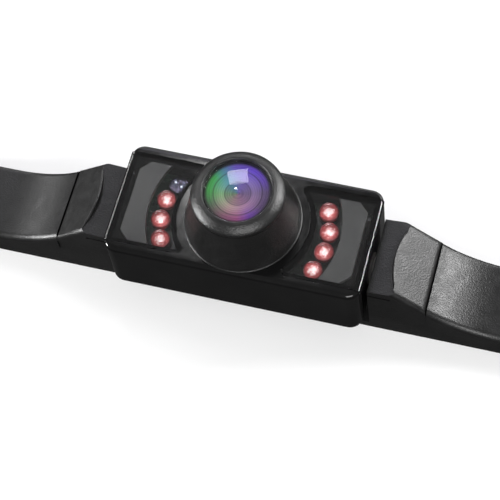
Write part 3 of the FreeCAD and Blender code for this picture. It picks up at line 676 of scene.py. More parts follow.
class Workpiece:
    """One piece on the bench, shaped with edit tools and modifiers."""

    def __init__(self, name: str) -> None:
        """Take the primitive that was just added.

        Args:
            name: the piece's name.
        """
        self.obj = bpy.context.object
        bpy.ops.object.transform_apply(location=True, rotation=True, scale=True)
        self.obj.name = name
        self.obj.data.name = name

    @staticmethod
    def clear_bench() -> None:
        """Deselect everything, the part's own nodes among it."""
        for item in bpy.context.view_layer.objects:
            item.select_set(False)

    @classmethod
    def block(cls, name: str, low: Sequence[float], high: Sequence[float]) -> "Workpiece":
        """Add a block between two corners.

        Args:
            name: the piece's name.
            low: its lowest corner.
            high: its highest corner.

        Returns:
            The block.
        """
        cls.clear_bench()
        low, high = Vector(low), Vector(high)
        bpy.ops.mesh.primitive_cube_add(size=1, location=(low + high) / 2, scale=high - low)
        return cls(name)

    @classmethod
    def section(cls, name: str, x: float, width: float, low: float, high: float) -> "Workpiece":
        """Add an upright rectangle across the bar.

        Args:
            name: the piece's name.
            x: where it stands along the bar.
            width: its width across the bar.
            low: the height of its lower edge.
            high: the height of its upper edge.

        Returns:
            The rectangle.
        """
        cls.clear_bench()
        bpy.ops.mesh.primitive_plane_add(
            size=1, location=(x, 0, (low + high) / 2), rotation=(0, math.pi / 2, 0)
        )
        bpy.context.object.scale = (high - low, width, 1)
        return cls(name)

    @classmethod
    def turned(
        cls, name: str, profile: Profile, sides: int, centre: tuple[float, float] = (0, 0), ring: bool = False
    ) -> "Workpiece":
        """Draw out a circle along a profile, as on a lathe.

        Args:
            name: the piece's name.
            profile: (radius, height) from the first loop to the last.
            sides: how many sides the circle has.
            centre: where the axis stands.
            ring: whether the profile closes on itself round an open bore.

        Returns:
            The turned piece.
        """
        cls.clear_bench()
        radius, height = profile[0]
        bpy.ops.mesh.primitive_circle_add(
            vertices=sides,
            radius=radius,
            fill_type="NOTHING" if ring else "NGON",
            location=(*centre, height),
        )
        piece = cls(name)
        steps = [*profile, profile[0]] if ring else profile
        with piece.editing():
            bpy.ops.mesh.select_all(action="SELECT")
            for (start, low), (end, high) in pairwise(steps):
                bpy.ops.mesh.extrude_region_move(TRANSFORM_OT_translate={"value": (0, 0, high - low)})
                if end == 0:
                    bpy.ops.mesh.merge(type="CENTER")
                elif end != start:
                    scale = end / start
                    bpy.ops.transform.resize(value=(scale, scale, 1), center_override=(*centre, high))
        return piece

    @contextmanager
    def editing(self) -> Iterator[None]:
        """Open the piece for editing, alone, and close it afterwards.

        Yields:
            Nothing; the mesh is open meanwhile.
        """
        self.hold()
        bpy.ops.object.mode_set(mode="EDIT")
        yield
        bpy.ops.object.mode_set(mode="OBJECT")

    def hold(self) -> None:
        """Select this piece only and make it active."""
        self.clear_bench()
        self.obj.select_set(True)
        bpy.context.view_layer.objects.active = self.obj

    def pick(self, kind: str, test: Callable[[object], bool]) -> None:
        """Select faces or edges of the open mesh by a test.

        Args:
            kind: FACE or EDGE.
            test: says whether a face or edge is wanted.
        """
        bpy.ops.mesh.select_mode(type=kind)
        bpy.ops.mesh.select_all(action="DESELECT")
        mesh = bmesh.from_edit_mesh(self.obj.data)
        mesh.normal_update()
        for item in mesh.faces if kind == "FACE" else mesh.edges:
            if test(item):
                item.select_set(True)
        mesh.select_flush_mode()
        bmesh.update_edit_mesh(self.obj.data)

    def round_edges(
        self, width: float, steps: int, test: EdgeTest, clamp: bool = True
    ) -> None:
        """Bevel the edges that pass a test.

        Args:
            width: the bevel's width.
            steps: how many faces it is made of.
            test: says whether an edge is wanted.
            clamp: whether short neighbours may narrow the bevel.
        """
        with self.editing():
            self.pick("EDGE", test)
            bpy.ops.mesh.bevel(offset=width, segments=steps, affect="EDGES", clamp_overlap=clamp)

    def pull(self, steps: Sequence[Sequence[float]]) -> None:
        """Extrude the whole open section step by step.

        Args:
            steps: how far each step goes.
        """
        with self.editing():
            bpy.ops.mesh.select_all(action="SELECT")
            for step in steps:
                bpy.ops.mesh.extrude_region_move(TRANSFORM_OT_translate={"value": tuple(step)})

    def hollow_below(self, wall: float, depth: float) -> None:
        """Sink the underside, and leave a wall round it.

        Args:
            wall: how wide the wall is.
            depth: how far the underside sinks.
        """
        with self.editing():
            self.pick("FACE", lambda face: face.normal.z < -LOOKS_UP)
            bpy.ops.mesh.inset(thickness=wall, use_boundary=True)
            bpy.ops.mesh.extrude_region_move(TRANSFORM_OT_translate={"value": (0, 0, depth)})

    def slice_off(self, point: Sequence[float], normal: Sequence[float]) -> None:
        """Cut away all that lies beyond a plane and close the cut.

        Args:
            point: a point of the plane.
            normal: the direction that is cut away.
        """
        with self.editing():
            bpy.ops.mesh.select_all(action="SELECT")
            bpy.ops.mesh.bisect(plane_co=point, plane_no=normal, use_fill=True, clear_outer=True)

    def cut(self, *tools: "Workpiece", way: str = "DIFFERENCE") -> None:
        """Cut tools out of the piece, or weld them on.

        Args:
            tools: pieces that are used up.
            way: DIFFERENCE or UNION.
        """
        for tool in tools:
            self.hold()
            step = self.obj.modifiers.new("cut", "BOOLEAN")
            step.operation = way
            step.solver = "EXACT"
            step.object = tool.obj
            bpy.ops.object.modifier_apply(modifier=step.name)
            bpy.data.objects.remove(tool.obj)

    def join(self, *others: "Workpiece") -> None:
        """Take other pieces into this one as loose parts.

        Args:
            others: pieces that are used up.
        """
        self.hold()
        for other in others:
            other.obj.select_set(True)
        bpy.ops.object.join()

    def copy(self, name: str, move: Sequence[float] = (0, 0, 0), mirror: bool = False) -> "Workpiece":
        """Copy the piece with its own mesh.

        Args:
            name: the copy's name.
            move: how far it is moved.
            mirror: whether it is turned into its mirror image across the bar's middle.

        Returns:
            The copy.
        """
        twin = self.obj.copy()
        twin.data = self.obj.data.copy()
        bpy.context.scene.collection.objects.link(twin)
        self.clear_bench()
        twin.select_set(True)
        bpy.context.view_layer.objects.active = twin
        twin.location = move
        if mirror:
            twin.scale = (-1, 1, 1)
        piece = Workpiece(name)
        if mirror:
            piece.tidy()
        return piece

    def spread(self, name: str, places: Sequence[Sequence[float]]) -> "Workpiece":
        """Turn the piece into a group of copies of itself.

        Args:
            name: the group's name.
            places: where the copies go.

        Returns:
            The group.
        """
        group, *others = [self.copy(f"{name}_part", place) for place in places]
        group.join(*others)
        group.obj.name = name
        return group

    def tidy(self) -> None:
        """Merge doubles and point every face outwards."""
        with self.editing():
            bpy.ops.mesh.select_all(action="SELECT")
            bpy.ops.mesh.remove_doubles(threshold=WELD)
            bpy.ops.mesh.select_all(action="SELECT")
            bpy.ops.mesh.normals_make_consistent(inside=False)

    def flatten_shading(self) -> None:
        """Let large faces keep their own direction next to narrow rounded edges."""
        step = self.obj.modifiers.new("flat_faces", "WEIGHTED_NORMAL")
        step.keep_sharp = True
        step.weight = 100
        bpy.ops.object.modifier_apply(modifier=step.name)

    def deliver(
        self, finish: Finish, body: Body, *nodes: str, shading: Shading = Shading.SOFT
    ) -> "Workpiece":
        """Finish the piece, dress it and put it on its body.

        Args:
            finish: the surface it gets.
            body: the body it moves with.
            nodes: the part's nodes that it stands for.
            shading: how sharp an edge has to be to show.

        Returns:
            The piece itself.
        """
        self.tidy()
        self.obj.scale = (MM, MM, MM)
        self.hold()
        bpy.ops.object.transform_apply(location=True, rotation=True, scale=True)
        bpy.ops.object.shade_smooth_by_angle(angle=math.radians(shading.value))
        if shading is not Shading.ROUND:
            self.flatten_shading()
        self.obj.data.materials.clear()
        self.obj.data.materials.append(finish.material())
        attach(self.obj, body.value)
        if nodes:
            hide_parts(*nodes)
        log.info("%s: %d faces", self.obj.name, len(self.obj.data.polygons))
        return self


def upright(edge: bmesh.types.BMEdge) -> bool:
    """Whether an edge stands along Z."""
    low, high = (corner.co for corner in edge.verts)
    return abs(low.x - high.x) < NEAR and abs(low.y - high.y) < NEAR


def at_height(edge: bmesh.types.BMEdge, height: float) -> bool:
    """Whether both ends of an edge lie at a height."""
    return all(abs(corner.co.z - height) < NEAR for corner in edge.verts)


def meets_wall(edge: bmesh.types.BMEdge) -> bool:
    """Whether one of the faces at an edge stands upright."""
    return any(abs(face.normal.z) < UPRIGHT for face in edge.link_faces)


def rim_at(height: float) -> EdgeTest:
    """A test for the edges between a level face and its walls.

    Args:
        height: where the level face lies.

    Returns:
        The test.
    """
    return lambda edge: at_height(edge, height) and meets_wall(edge)


def rounded_block(
    name: str, low: Sequence[float], high: Sequence[float], radius: float, steps: int = 8
) -> Workpiece:
    """A block with its upright edges rounded.

    Args:
        name: the piece's name.
        low: its lowest corner.
        high: its highest corner.
        radius: the rounding.
        steps: how many faces each rounding has.

    Returns:
        The block.
    """
    block = Workpiece.block(name, low, high)
    block.round_edges(radius, steps, upright)
    return block


def deliver_pair(
    piece: Workpiece, name: str, finish: Finish, body: Body, node: str = "", shading: Shading = Shading.SOFT
) -> None:
    """Deliver the right-hand piece and its mirror image, each under its side's name.

    Args:
        piece: the right-hand piece.
        name: the name of both, without the side.
        finish: the surface they get.
        body: the body they move with.
        node: the part's node they stand for, without the side, or nothing.
        shading: how sharp an edge has to be to show.
    """
    twins = {Side.RIGHT: piece, Side.LEFT: piece.copy(name, mirror=True)}
    for side, twin in twins.items():
        twin.obj.name = f"{name}_{side.word}"
        nodes = (f"{side.word}_{node}",) if node else ()
        twin.deliver(finish, body, *nodes, shading=shading)


def cross_head_screw(
    name: str, radius: float, low: float, high: float, shank: float, end: float
) -> Workpiece:
    """A screw with its head down and a cross cut in it.

    Args:
        name: the piece's name.
        radius: the head's radius.
        low: the height of the head's face.
        high: the height where the shank starts.
        shank: the shank's radius.
        end: the height of the shank's tip.

    Returns:
        The screw, on the Z axis.
    """
    crown = 0.25
    screw = Workpiece.turned(
        name,
        (
            (radius - 2 * crown, low),
            (radius - crown / 2, low + crown / 3),
            (radius, low + crown),
            (radius, high),
            (shank, high),
            (shank, end - shank / 2),
            (shank / 2, end),
        ),
        32,
    )
    arm, groove, depth = radius * 0.62, radius * 0.13, (high - low) * 0.55
    for along, across in ((arm, groove), (groove, arm)):
        screw.cut(Workpiece.block("driver", (-along, -across, low - 1), (along, across, low + depth)))
    return screw


def deliver_screws(
    screw: Workpiece, places: Sequence[tuple[float, float]], name: str, body: Body, node: str
) -> None:
    """Deliver copies of one screw as one piece.

    Args:
        screw: the screw on the Z axis, which is used up.
        places: where the screws stand.
        name: the group's name.
        body: the body they move with.
        node: the part's node that the group stands for.
    """
    group = screw.spread(name, [(*place, 0) for place in places])
    bpy.data.objects.remove(screw.obj)
    group.deliver(STEEL, body, node, shading=Shading.CRISP)


# --- Bar -----------------------------------------------------------------------------


@dataclass
class PlateBar:
    """The bar that bolts over the plate: covers, shoulder caps and their screws."""

    half_length: float = 100.0
    half_width: float = 10.4
    section_height: float = 6.2
    wing_top: float = 9.0
    blend_radius: float = 30.0
    blend_end: float = 68.44
    cover_start: float = 49.3
    end_radius: float = 4.0
    edge_radius: float = 1.7
    wall: float = 1.8
    slot_centre: float = 88.9
    slot_half: tuple[float, float] = (6.0, 3.25)
    slope: float = math.radians(40)
    shoulder: float = 34.3
    seam: float = 49.2
    ridge: tuple[float, float] = (41.2, 22.7)
    panel_low: float = 22.0
    crest_centre: float = 61.0
    crest_radius: float = 22.0
    crest_rounding: float = 0.75
    crest_miss: float = 0.05
    cap_top: float = 26.0
    gap_depth: float = 0.55
    gap_drop: tuple[float, float] = (2.7, 2.0)
    hinge_height: float = 14.0
    arc_steps: int = 22

    def face_curve(self) -> list[Vector]:
        """Places along the cover's face, from the seam to the far end.

        Returns:
            The places, in order.
        """
        lift = self.wing_top + self.blend_radius
        first = math.asin((self.blend_end - self.cover_start) / self.blend_radius)
        turns = [first * (1 - step / self.arc_steps) for step in range(self.arc_steps + 1)]
        curve = [
            Vector((
                self.blend_end - self.blend_radius * math.sin(turn),
                0,
                lift - self.blend_radius * math.cos(turn),
            ))
            for turn in turns
        ]
        return [*curve, Vector((self.half_length, 0, self.wing_top))]

    def cover_rim(self, edge: bmesh.types.BMEdge) -> bool:
        """Whether an edge lies between the cover's face and its sides or end.

        Args:
            edge: an edge of the cover.

        Returns:
            Whether it does.
        """
        if len(edge.link_faces) != 2:
            return False
        middle = (edge.verts[0].co + edge.verts[1].co) / 2
        lifts = sorted(abs(face.normal.z) for face in edge.link_faces)
        faces_up = max(face.normal.z for face in edge.link_faces)
        return lifts[0] < UPRIGHT and faces_up > LOOKS_UP and middle.x > self.cover_start + NEAR

    def slot_block(self, name: str, grow: float, low: float, high: float) -> Workpiece:
        """A block with round ends over the plate slot.

        Args:
            name: the piece's name.
            grow: how much wider than the slot it is.
            low: its lower face.
            high: its upper face.

        Returns:
            The block.
        """
        length, width = (half + grow for half in self.slot_half)
        return rounded_block(
            name,
            (self.slot_centre - length, -width, low),
            (self.slot_centre + length, width, high),
            width - NEAR,
            12,
        )

    def wing_covers(self) -> None:
        """Curved covers that run from the shoulders to the ends."""
        curve = self.face_curve()
        cover = Workpiece.section(
            "wing_cover", curve[0].x, 2 * self.half_width, curve[0].z - self.section_height, curve[0].z
        )
        cover.pull([end - start for start, end in pairwise(curve)])
        cover.tidy()
        cover.round_edges(
            self.end_radius,
            8,
            lambda edge: upright(edge) and edge.verts[0].co.x > self.half_length - NEAR,
        )
        cover.round_edges(self.edge_radius, 6, self.cover_rim)
        cover.round_edges(
            0.05,
            1,
            lambda edge: all(corner.co.x < self.cover_start + NEAR for corner in edge.verts)
            and any(face.normal.z > 0.3 for face in edge.link_faces),
        )
        cover.hollow_below(self.wall, self.section_height - self.wall)
        under = self.wing_top - self.section_height
        cover.cut(self.slot_block("slot_rim", self.wall, under, self.wing_top - 1), way="UNION")
        cover.cut(self.slot_block("slot", 0, under - 1, self.wing_top + 1))
        cover.round_edges(
            0.3,
            3,
            lambda edge: at_height(edge, self.wing_top)
            and abs(edge.verts[0].co.x - self.slot_centre) < self.slot_half[0] + NEAR
            and abs(edge.verts[0].co.y) < self.slot_half[1] + NEAR,
        )
        deliver_pair(cover, "bar_wing", SATIN, Body.BAR, "wing_cover")

    def panel_tool(self) -> Workpiece:
        """What is cut away above the dark panel beside the camera.

        Returns:
            The tool.
        """
        rise = (self.ridge[1] - self.panel_low) / (self.ridge[0] - self.shoulder)
        tool = Workpiece.block("panel_tool", (self.shoulder - 4, -14, 10), (46, 14, 32))
        tool.slice_off((self.shoulder, 0, self.panel_low), (rise, 0, -1))
        round_face = Workpiece.turned(
            "crest", ((self.crest_radius, 5), (self.crest_radius, 40)), ROUND_SIDES, (self.crest_centre, 0)
        )
        tool.cut(round_face)
        return tool

    def on_crest(self, edge: bmesh.types.BMEdge) -> bool:
        """Whether an edge runs along the crest, where the slope meets the panel's wall.

        Args:
            edge: an edge of the cap.

        Returns:
            Whether it does.
        """
        for corner in edge.verts:
            reach = math.hypot(corner.co.x - self.crest_centre, corner.co.y)
            face = self.ridge[1] - (corner.co.x - self.ridge[0]) * math.tan(self.slope)
            if max(abs(reach - self.crest_radius), abs(corner.co.z - face)) > self.crest_miss:
                return False
            if abs(corner.co.y) > self.half_width - self.edge_radius - NEAR:
                return False
        return True

    def shoulder_caps(self) -> None:
        """Caps that hold the hinge, with the crest beside the camera."""
        cap = Workpiece.block(
            "shoulder_cap",
            (self.shoulder, -self.half_width, self.hinge_height),
            (self.seam, self.half_width, self.cap_top),
        )
        cap.slice_off((self.ridge[0], 0, self.ridge[1]), (math.sin(self.slope), 0, math.cos(self.slope)))
        cap.round_edges(
            self.edge_radius,
            6,
            lambda edge: all(abs(abs(corner.co.y) - self.half_width) < NEAR for corner in edge.verts)
            and any(face.normal.z > LOOKS_UP for face in edge.link_faces),
        )
        cap.cut(self.panel_tool())
        cap.round_edges(self.crest_rounding, 5, self.on_crest, clamp=False)
        for side in (-1, 1):
            low, high = sorted(side * (self.half_width + step) for step in (-self.gap_depth, 1))
            deep, shallow = (self.panel_low - drop for drop in self.gap_drop)
            cap.cut(Workpiece.block(
                "shadow_gap", (self.shoulder - 1, low, deep), (self.ridge[0] - 1, high, shallow)
            ))
        deliver_pair(cap, "bar_shoulder", SATIN, Body.BAR, "shoulder_cap")

    def screws(self) -> None:
        """Screws driven from behind into the caps and covers."""
        cap_screw = cross_head_screw("cap_screw", radius=2.0, low=0.2, high=1.5, shank=1.1, end=15.2)
        places = [(x, y) for x in (39.6, -39.6) for y in (6.2, -6.2)]
        deliver_screws(cap_screw, places, "bar_cap_screws", Body.BAR, "shoulder_cap_screws")
        wing_screw = cross_head_screw("wing_screw", radius=2.0, low=0.2, high=1.5, shank=1.1, end=5.6)
        places = [(x, 0) for x in (56, 76, -56, -76)]
        deliver_screws(wing_screw, places, "bar_wing_screws", Body.BAR, "wing_cover_screws")

    def build(self) -> None:
        """Make every piece of the bar."""
        self.wing_covers()
        self.shoulder_caps()
        self.screws()


# --- Camera head ---------------------------------------------------------------------


@dataclass
class CameraCase:
    """The case of the camera head: front, back, windows and masks."""

    half_width: float = 33.5
    half_height: float = 15.5
    back: float = 8.5
    split: float = 10.3
    front: float = 27.5
    wall: float = 2.0
    front_wall: float = 3.0
    corner: float = 3.5
    edge: float = 1.4
    window_depth: float = 1.5
    window_half: float = 13.0
    window_inner: float = 12.9
    window_radius: float = 17.0
    window_corner: float = 1.8
    trough_radius: float = 18.4
    trough_half: float = 11.6
    trough_outer: float = 31.5
    mask_radius: float = 25.0
    mask_outer: float = 30.2
    mask_half: float = 11.5
    mask_top: float = 25.9
    mask_thickness: float = 1.2
    mask_chamfer: float = 2.6
    gap: float = 0.1
    recess_rounding: float = 0.3
    opening_radius: float = 11.0
    back_rounding: float = 0.9
    gland_radius: float = 3.5
    screw_recess: tuple[float, float] = (1.9, 1.1)
    screw_radius: float = 1.0
    screw_places: tuple[tuple[float, float], ...] = (
        (29.6, 11.6), (29.6, -11.6), (-29.6, 11.6), (-29.6, -11.6),
    )

    def sector(
        self,
        name: str,
        inner: float,
        outer: float,
        half: float,
        radius: float,
        low: float,
        high: float,
        corner: float = 0.3,
    ) -> Workpiece:
        """A plate on the right that leaves out a round about the lens.

        Args:
            name: the piece's name.
            inner: its least distance from the middle.
            outer: its greatest distance from the middle.
            half: half its height.
            radius: the radius of the round about the lens.
            low: its lower face.
            high: its upper face.
            corner: the rounding of its two inner corners.

        Returns:
            The plate.
        """
        plate = Workpiece.block(name, (inner, -half, low), (outer, half, high))
        plate.cut(Workpiece.turned("round", ((radius, low - 1), (radius, high + 1)), ROUND_SIDES))
        plate.round_edges(
            corner,
            6,
            lambda edge: upright(edge)
            and abs(edge.verts[0].co.x - inner) < NEAR
            and abs(abs(edge.verts[0].co.y) - half) < NEAR,
        )
        return plate

    def recess_rim(self, edge: bmesh.types.BMEdge) -> bool:
        """Whether an edge of the front face borders a window's recess.

        Args:
            edge: an edge of the shell.

        Returns:
            Whether it does.
        """
        far, high = self.half_width - self.edge + NEAR, self.window_half + NEAR
        inside = all(abs(corner.co.x) < far and abs(corner.co.y) < high for corner in edge.verts)
        return inside and at_height(edge, self.front) and len(edge.link_faces) == 2 and meets_wall(edge)

    def front_shell(self) -> None:
        """The deep front shell with its recesses, troughs and lens opening."""
        shell = rounded_block(
            "case_front",
            (-self.half_width, -self.half_height, self.split),
            (self.half_width, self.half_height, self.front),
            self.corner,
        )
        shell.round_edges(self.edge, 5, rim_at(self.front))
        inside = rounded_block(
            "inside",
            (-self.half_width + self.wall, -self.half_height + self.wall, self.split - 1),
            (self.half_width - self.wall, self.half_height - self.wall, self.front - self.front_wall),
            self.corner - self.wall,
        )
        shell.cut(inside)
        recess = self.sector(
            "recess",
            self.window_inner,
            self.half_width + 1,
            self.window_half,
            self.window_radius,
            self.front - self.window_depth,
            self.front + 1,
            self.window_corner,
        )
        trough = self.sector(
            "trough",
            self.window_inner,
            self.trough_outer,
            self.trough_half,
            self.trough_radius,
            self.front - self.front_wall - 1,
            self.front,
        )
        for tool in (recess, trough):
            shell.cut(tool.copy("left_tool", mirror=True), tool)
        opening = ((self.opening_radius, self.split), (self.opening_radius, self.front + 1))
        shell.cut(Workpiece.turned("opening", opening, 96))
        shell.round_edges(self.recess_rounding, 3, self.recess_rim)
        shell.deliver(GLOSS, Body.HEAD, "front_case")

    def back_cover(self) -> None:
        """The rear cover with the gland's hole and screw recesses."""
        cover = rounded_block(
            "case_back",
            (-self.half_width, -self.half_height, self.back),
            (self.half_width, self.half_height, self.split),
            self.corner,
        )
        cover.round_edges(self.back_rounding, 4, rim_at(self.back))
        hole = ((self.gland_radius, self.back - 1), (self.gland_radius, self.split + 1))
        cover.cut(Workpiece.turned("gland_hole", hole, 48))
        radius, depth = self.screw_recess
        recess = ((radius, self.back - 1), (radius, self.back + depth))
        shank = ((self.screw_radius, self.back), (self.screw_radius, self.split + 1))
        for place in self.screw_places:
            cover.cut(Workpiece.turned("recess", recess, 32, place))
            cover.cut(Workpiece.turned("shank_hole", shank, 24, place))
        cover.deliver(GLOSS, Body.HEAD, "rear_cover")

    def windows(self) -> None:
        """Clear windows set flush in the front."""
        pane = self.sector(
            "window",
            self.window_inner + self.gap,
            self.half_width,
            self.window_half - self.gap,
            self.window_radius + self.gap,
            self.front - self.window_depth,
            self.front,
            self.window_corner - self.gap,
        )
        pane.round_edges(
            0.9,
            3,
            lambda edge: at_height(edge, self.front)
            and all(corner.co.x > self.half_width - NEAR for corner in edge.verts),
        )
        pane.round_edges(0.22, 3, rim_at(self.front))
        deliver_pair(pane, "case_window", WINDOW, Body.HEAD, "window")

    def masks(self) -> None:
        """Grey masks behind the windows, outside the rows of lamps."""
        mask = self.sector(
            "mask",
            self.window_inner,
            self.mask_outer,
            self.mask_half,
            self.mask_radius,
            self.mask_top - self.mask_thickness,
            self.mask_top,
        )
        mask.round_edges(
            self.mask_chamfer,
            1,
            lambda edge: upright(edge) and edge.verts[0].co.x > self.mask_outer - NEAR,
        )
        mask.round_edges(0.25, 2, rim_at(self.mask_top))
        deliver_pair(mask, "lamp_screen", MASK, Body.HEAD, "lamp_mask", Shading.CRISP)

    def screws_and_gland(self) -> None:
        """The case's screws and the rubber gland for the cord."""
        screw = cross_head_screw("case_screw", radius=1.8, low=8.6, high=9.6, shank=0.9, end=18.3)
        deliver_screws(screw, self.screw_places, "case_back_screws", Body.HEAD, "case_screws")
        gland = Workpiece.turned(
            "cord_grommet",
            (
                (1.6, 5.4), (2.5, 5.4), (2.7, 5.7), (2.85, 6.1), (2.5, 6.25), (2.6, 6.6), (3.1, 7.0),
                (2.8, 7.2), (3.0, 7.5), (4.4, 7.6), (4.6, 7.8), (4.6, 8.5), (3.5, 8.5), (3.5, 10.3),
                (4.3, 10.3), (4.3, 11.2), (1.6, 11.2),
            ),
            48,
            ring=True,
        )
        gland.deliver(RUBBER, Body.HEAD, "cord_gland")

    def build(self) -> None:
        """Make every piece of the case."""
        self.front_shell()
        self.back_cover()
        self.windows()
        self.masks()
        self.screws_and_gland()


@dataclass
class NightLamps:
    """The infrared lamps, their boards and the light sensor."""

    ring_radius: float = 21.74
    foot: float = 20.7
    rim_radius: float = 2.75
    rim_height: float = 0.9
    body_radius: float = 2.5
    body_height: float = 1.6
    board_low: float = 19.5
    rows: dict[Side, tuple[float, ...]] = field(
        default_factory=lambda: {Side.RIGHT: (-22.5, -7.5, 7.5, 22.5), Side.LEFT: (172.5, 187.5, 202.5)}
    )
    sensor_turn: float = 157.5
    contact_offset: tuple[float, float] = (0.9, 0.5)

    def spot(self, turn: float) -> tuple[float, float, float]:
        """The place on the lamp ring at an angle in degrees."""
        angle = math.radians(turn)
        return (self.ring_radius * math.cos(angle), self.ring_radius * math.sin(angle), 0)

    def dome(self) -> Workpiece:
        """One clear lamp on the Z axis.

        Returns:
            The lamp.
        """
        spring = self.foot + self.rim_height + self.body_height
        arc = [math.radians(9 * step) for step in range(1, 10)]
        cap = [
            (self.body_radius * math.cos(turn), spring + self.body_radius * math.sin(turn)) for turn in arc
        ]
        return Workpiece.turned(
            "lamp",
            (
                (self.rim_radius, self.foot),
                (self.rim_radius, self.foot + self.rim_height),
                (self.body_radius, self.foot + self.rim_height),
                (self.body_radius, spring),
                *cap,
                (0, spring + self.body_radius),
            ),
            40,
        )

    def cup(self) -> Workpiece:
        """The reflector cup inside a lamp.

        Returns:
            The cup.
        """
        floor = self.foot + 1.1
        return Workpiece.turned(
            "cup",
            ((1.9, floor), (2.15, floor + 1.3), (1.9, floor + 1.3), (0.9, floor + 0.45), (0.75, floor + 0.4)),
            32,
        )

    def heart(self) -> Workpiece:
        """The lit heart over the die.

        Returns:
            The heart.
        """
        base = self.foot + 1.45
        return Workpiece.turned(
            "heart",
            (
                (1.75, base), (1.7, base + 0.15), (1.5, base + 0.35), (1.2, base + 0.65), (0.9, base + 0.95),
                (0.6, base + 1.2), (0.3, base + 1.36), (0, base + 1.42),
            ),
            28,
        )

    def row(self, part: Workpiece, side: Side, name: str) -> Workpiece:
        """Copy one lamp part to every place of a row.

        Args:
            part: the part on the Z axis.
            side: the row's side.
            name: the row's name.

        Returns:
            The row as one piece.
        """
        return part.spread(name, [self.spot(turn) for turn in self.rows[side]])

    def lamps(self) -> None:
        """Both rows of lamps, each with its cups and lit hearts."""
        parts = (
            (self.dome(), "lamp_domes", LAMP, True),
            (self.cup(), "lamp_cups", LAMPLIT_CUP, False),
            (self.heart(), "lamp_hearts", HEART, False),
        )
        for part, name, finish, stands_for_node in parts:
            for side in Side:
                row = self.row(part, side, f"{name}_{side.word}")
                nodes = (f"{side.word}_infrared_lamps",) if stands_for_node else ()
                row.deliver(finish, Body.HEAD, *nodes, shading=Shading.ROUND)
            bpy.data.objects.remove(part.obj)

    def boards(self) -> None:
        """Boards under the lamps with small resistors beside them."""
        board = Workpiece.block("lamp_board", (14.7, -11.4, self.board_low), (27, 11.4, self.foot))
        board.cut(Workpiece.turned("round", ((18.6, 18), (18.6, 23)), 96))
        board.round_edges(1.0, 3, lambda edge: upright(edge) and edge.verts[0].co.x > 26.9)
        chip = Workpiece.block("resistor", (-0.5, -0.25, self.foot), (0.5, 0.25, self.foot + 0.35))
        chip.round_edges(0.06, 2, lambda edge: at_height(edge, self.foot + 0.35))
        places = [(24.9, 4.6 * step - 9.2) for step in range(5)]
        row = chip.spread("resistors", [(*place, 0) for place in places])
        bpy.data.objects.remove(chip.obj)
        deliver_pair(row, "lamp_resistors", CHIP, Body.HEAD, shading=Shading.CRISP)
        deliver_pair(board, "lamp_panel", BOARD, Body.HEAD, "lamp_board", Shading.CRISP)

    def light_sensor(self) -> None:
        """The round light sensor with its two contacts."""
        x, y, _ = self.spot(self.sensor_turn)
        low, high = self.foot, self.foot + 1.6
        face = Workpiece.turned(
            "day_sensor",
            ((2.5, low), (2.5, high - 0.3), (2.3, high - 0.1), (2.0, high - 0.1), (1.9, high - 0.25)),
            40,
            (x, y),
        )
        face.deliver(SENSOR, Body.HEAD, "light_sensor")
        contact = ((0.32, high - 0.3), (0.32, high - 0.12), (0.2, high - 0.05))
        across, along = self.contact_offset
        dots, other = (
            Workpiece.turned(name, contact, 16, (x + way * across, y - way * along))
            for name, way in (("sensor_contacts", -1), ("dot", 1))
        )
        dots.join(other)
        # The contacts carry a painted glint.
        dots.deliver(CONTACT_GLINT, Body.HEAD)

    def build(self) -> None:
        """Make the boards, the lamps and the sensor."""
        self.boards()
        self.lamps()
        self.light_sensor()


